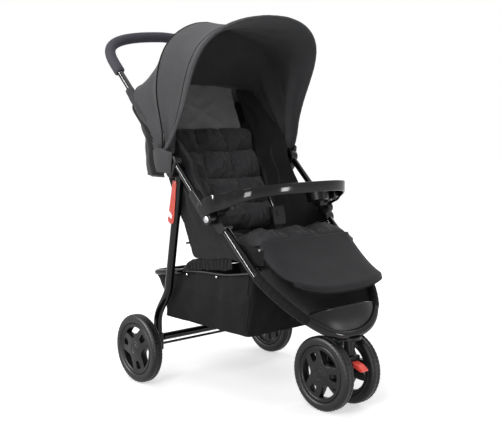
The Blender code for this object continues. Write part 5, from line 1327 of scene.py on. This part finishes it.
def link_gather(sign):
    """The points of the gathered cloth that goes over the lower link and down to the basket's edge."""

    def point(along, share):
        y = -0.335 + 0.205 * along
        z = height_at(LINK_HEIGHTS, y)
        drop = 0.62 * (z - height_at(BASKET_RIM, y)) + 0.0035 * ripple((y, 0, 0), 0.02, 6)
        ruffle = 0.0014 * sin(72 * along + 6 * ripple((y, share * 0.03, 0), 0.03, 4))
        if share < 0.5:
            x, z = Vector((LINK_X, z)) + polar(0.0096 + ruffle * share, pi * (1.15 - share * 2.3))
        else:
            down = (share - 0.5) * 2
            x, z = LINK_X + 0.0088 - 0.002 * down + ruffle * (1 - 0.6 * down), z - 0.003 - drop * down
        return place(sign * x, (y, z))

    return point


# The frame's own nodes

NODE_FINISH = (
    (NYLON, "front_joint_right front_joint_left axle_bracket_right axle_bracket_left brake_pedals caster_cup"),
    (NYLON, "caster_fork seat_board backrest_board leg_rest_board tray_button_right tray_button_left harness_buckle"),
    (ZINC, "seat_cross_rod leg_rest_rod recline_rod latch_stud front_axle hook_rivet fold_bolt_right fold_bolt_left"),
    (GLOSS, "buckle_button"),
    (STEEL_TUBE, "rear_axle"),
)


def finish_nodes():
    """Gives the frame's own pieces their finish."""
    for material, names in NODE_FINISH:
        for name in names.split():
            mesh = frame["nodes"][name].data
            mesh.materials.clear()
            mesh.materials.append(material)
            mesh.shade_smooth()
            mesh.set_sharp_from_angle(angle=radians(35))


# Studio

WHITE = (1, 1, 1, 1)
SOFT_LIGHT = 0.36
FLOOR_RADIUS, FLOOR_DROP = 12.0, 0.0005
# How much the floor glows for the camera, near the stroller and far from it; the lower glow near the stroller paints a
# soft shadow round it
NEAR, FAR = 0.35, 1.1
PAINTED_SHADOW_LIFT, FAR_LIFT = 0.58, 0.76


def floor():
    """A pale floor that the camera sees as white, apart from the stroller's soft shadow, which the lamps cast and a
    dimmer glow round the stroller paints in.
    """
    made, tree, shader, where = finish("pale_floor")
    tree.nodes.remove(shader)
    matt = add(tree, "BsdfDiffuse", {"Color": linear("F5F5F5")})
    rays = add(tree, "LightPath").outputs
    seen = maths(tree, "MAXIMUM", rays["Is Camera Ray"], rays["Is Glossy Ray"])
    away = add(tree, "VectorMath", {"operation": "LENGTH"}, {"Vector": where})
    # Less glow near the stroller: a painted shadow round it
    spread = {"From Min": NEAR, "From Max": FAR, "To Min": PAINTED_SHADOW_LIFT, "To Max": FAR_LIFT}
    spread["interpolation_type"] = "SMOOTHSTEP"
    lift = add(tree, "MapRange", spread, {"Value": away.outputs["Value"]})
    level = maths(tree, "MULTIPLY", seen, lift.outputs["Result"])
    glow = add(tree, "Emission", {"Color": WHITE}, {"Strength": level})
    both = add(tree, "AddShader", {}, {0: matt.outputs["BSDF"], 1: glow.outputs["Emission"]})
    tree.links.new(both.outputs["Shader"], tree.nodes["Material Output"].inputs["Surface"])
    ring = [(*polar(FLOOR_RADIUS, turn), -FLOOR_DROP) for turn in turns(64)]
    piece("floor", ring, [tuple(range(64))], made)


def world():
    """White for what the camera and shiny surfaces see, and a plain soft light for the rest."""
    made = bpy.data.worlds.new("studio")
    bpy.context.scene.world = made
    made.use_nodes = True
    tree = made.node_tree
    rays = add(tree, "LightPath").outputs
    seen = maths(tree, "MAXIMUM", rays["Is Camera Ray"], rays["Is Glossy Ray"])
    seen = maths(tree, "MAXIMUM", seen, rays["Is Transmission Ray"])
    soft, white = (
        add(tree, "Background", {"Color": WHITE, "Strength": strength}).outputs["Background"]
        for strength in (SOFT_LIGHT, 1.0)
    )
    mix = add(tree, "MixShader", {}, {0: seen, 1: soft, 2: white})
    tree.links.new(mix.outputs["Shader"], tree.nodes["World Output"].inputs["Surface"])


def aimed(obj, location, direction, lean):
    """Puts a lamp or the camera at a location, looking in a direction and leaned over by some degrees."""
    obj.location = location
    aim = direction.to_track_quat("-Z", "Y").to_matrix().to_4x4()
    obj.rotation_euler = (aim @ Matrix.Rotation(radians(lean), 4, "Z")).to_euler()
    bpy.context.scene.collection.objects.link(obj)


def lamp(name, location, target, size, power, lean=0.0, lights_matt=True):
    """A soft box that looks at a point, leaned over by an angle; some only show in shiny surfaces."""
    light = bpy.data.lights.new(name, "AREA")
    light.shape = "RECTANGLE"
    light.size, light.size_y = size
    light.energy = power
    obj = bpy.data.objects.new(name, light)
    obj.visible_diffuse = lights_matt
    aimed(obj, location, Vector(target) - Vector(location), lean)


def lights():
    """Three soft boxes that light the stroller, and three that only draw its highlights."""
    lamp("soft_box_front_left", (-2.6, -1.6, 2.4), (0, 0, 0.5), (1.2, 1.6), 44)
    lamp("soft_box_top", (-0.2, 0.3, 3.2), (0, 0, 0.3), (2.0, 2.0), 26)
    lamp("soft_box_right", (2.9, 0.3, 2.0), (0, 0, 0.4), (0.5, 1.6), 14)
    lamp("strip_beside_tubes", (-2.69, 0.99, 1.56), (-0.21, 0.04, 0.66), (0.26, 2.4), 230, 44, False)
    lamp("tray_corner_box", (-2.44, -2.18, 0.31), (-0.2, -0.19, 0.59), (1.05, 0.8), 46, 0, False)
    lamp("tray_front_box", (1.53, -2.76, 0.32), (-0.08, -0.24, 0.59), (0.42, 0.5), 15, 0, False)


def camera():
    """The photograph's view."""
    data = bpy.data.cameras.new("camera")
    data.sensor_width, data.lens = 36, 65.886
    data.clip_start, data.clip_end = 0.05, 100
    turn, lift, roll = radians(-41.2558), radians(6.8009), -0.29
    back = Vector((sin(turn) * cos(lift), -cos(turn) * cos(lift), sin(lift)))
    target, distance = Vector((-0.0983, -0.1039, 0.4915)), 2.5678
    obj = bpy.data.objects.new("camera", data)
    aimed(obj, target + distance * back, -back, roll)
    bpy.context.scene.camera = obj


bpy.context.scene.view_settings.view_transform = "Standard"
camera()
world()
floor()
lights()
finish_nodes()
tubes()
bows()
housings()
wheels()
levers()
tray()
footplate()
roof()
skirt()
canopy_ends()
head_panel()
seat()
side_curtains()
leg_rest()
calf_cloth()
basket()
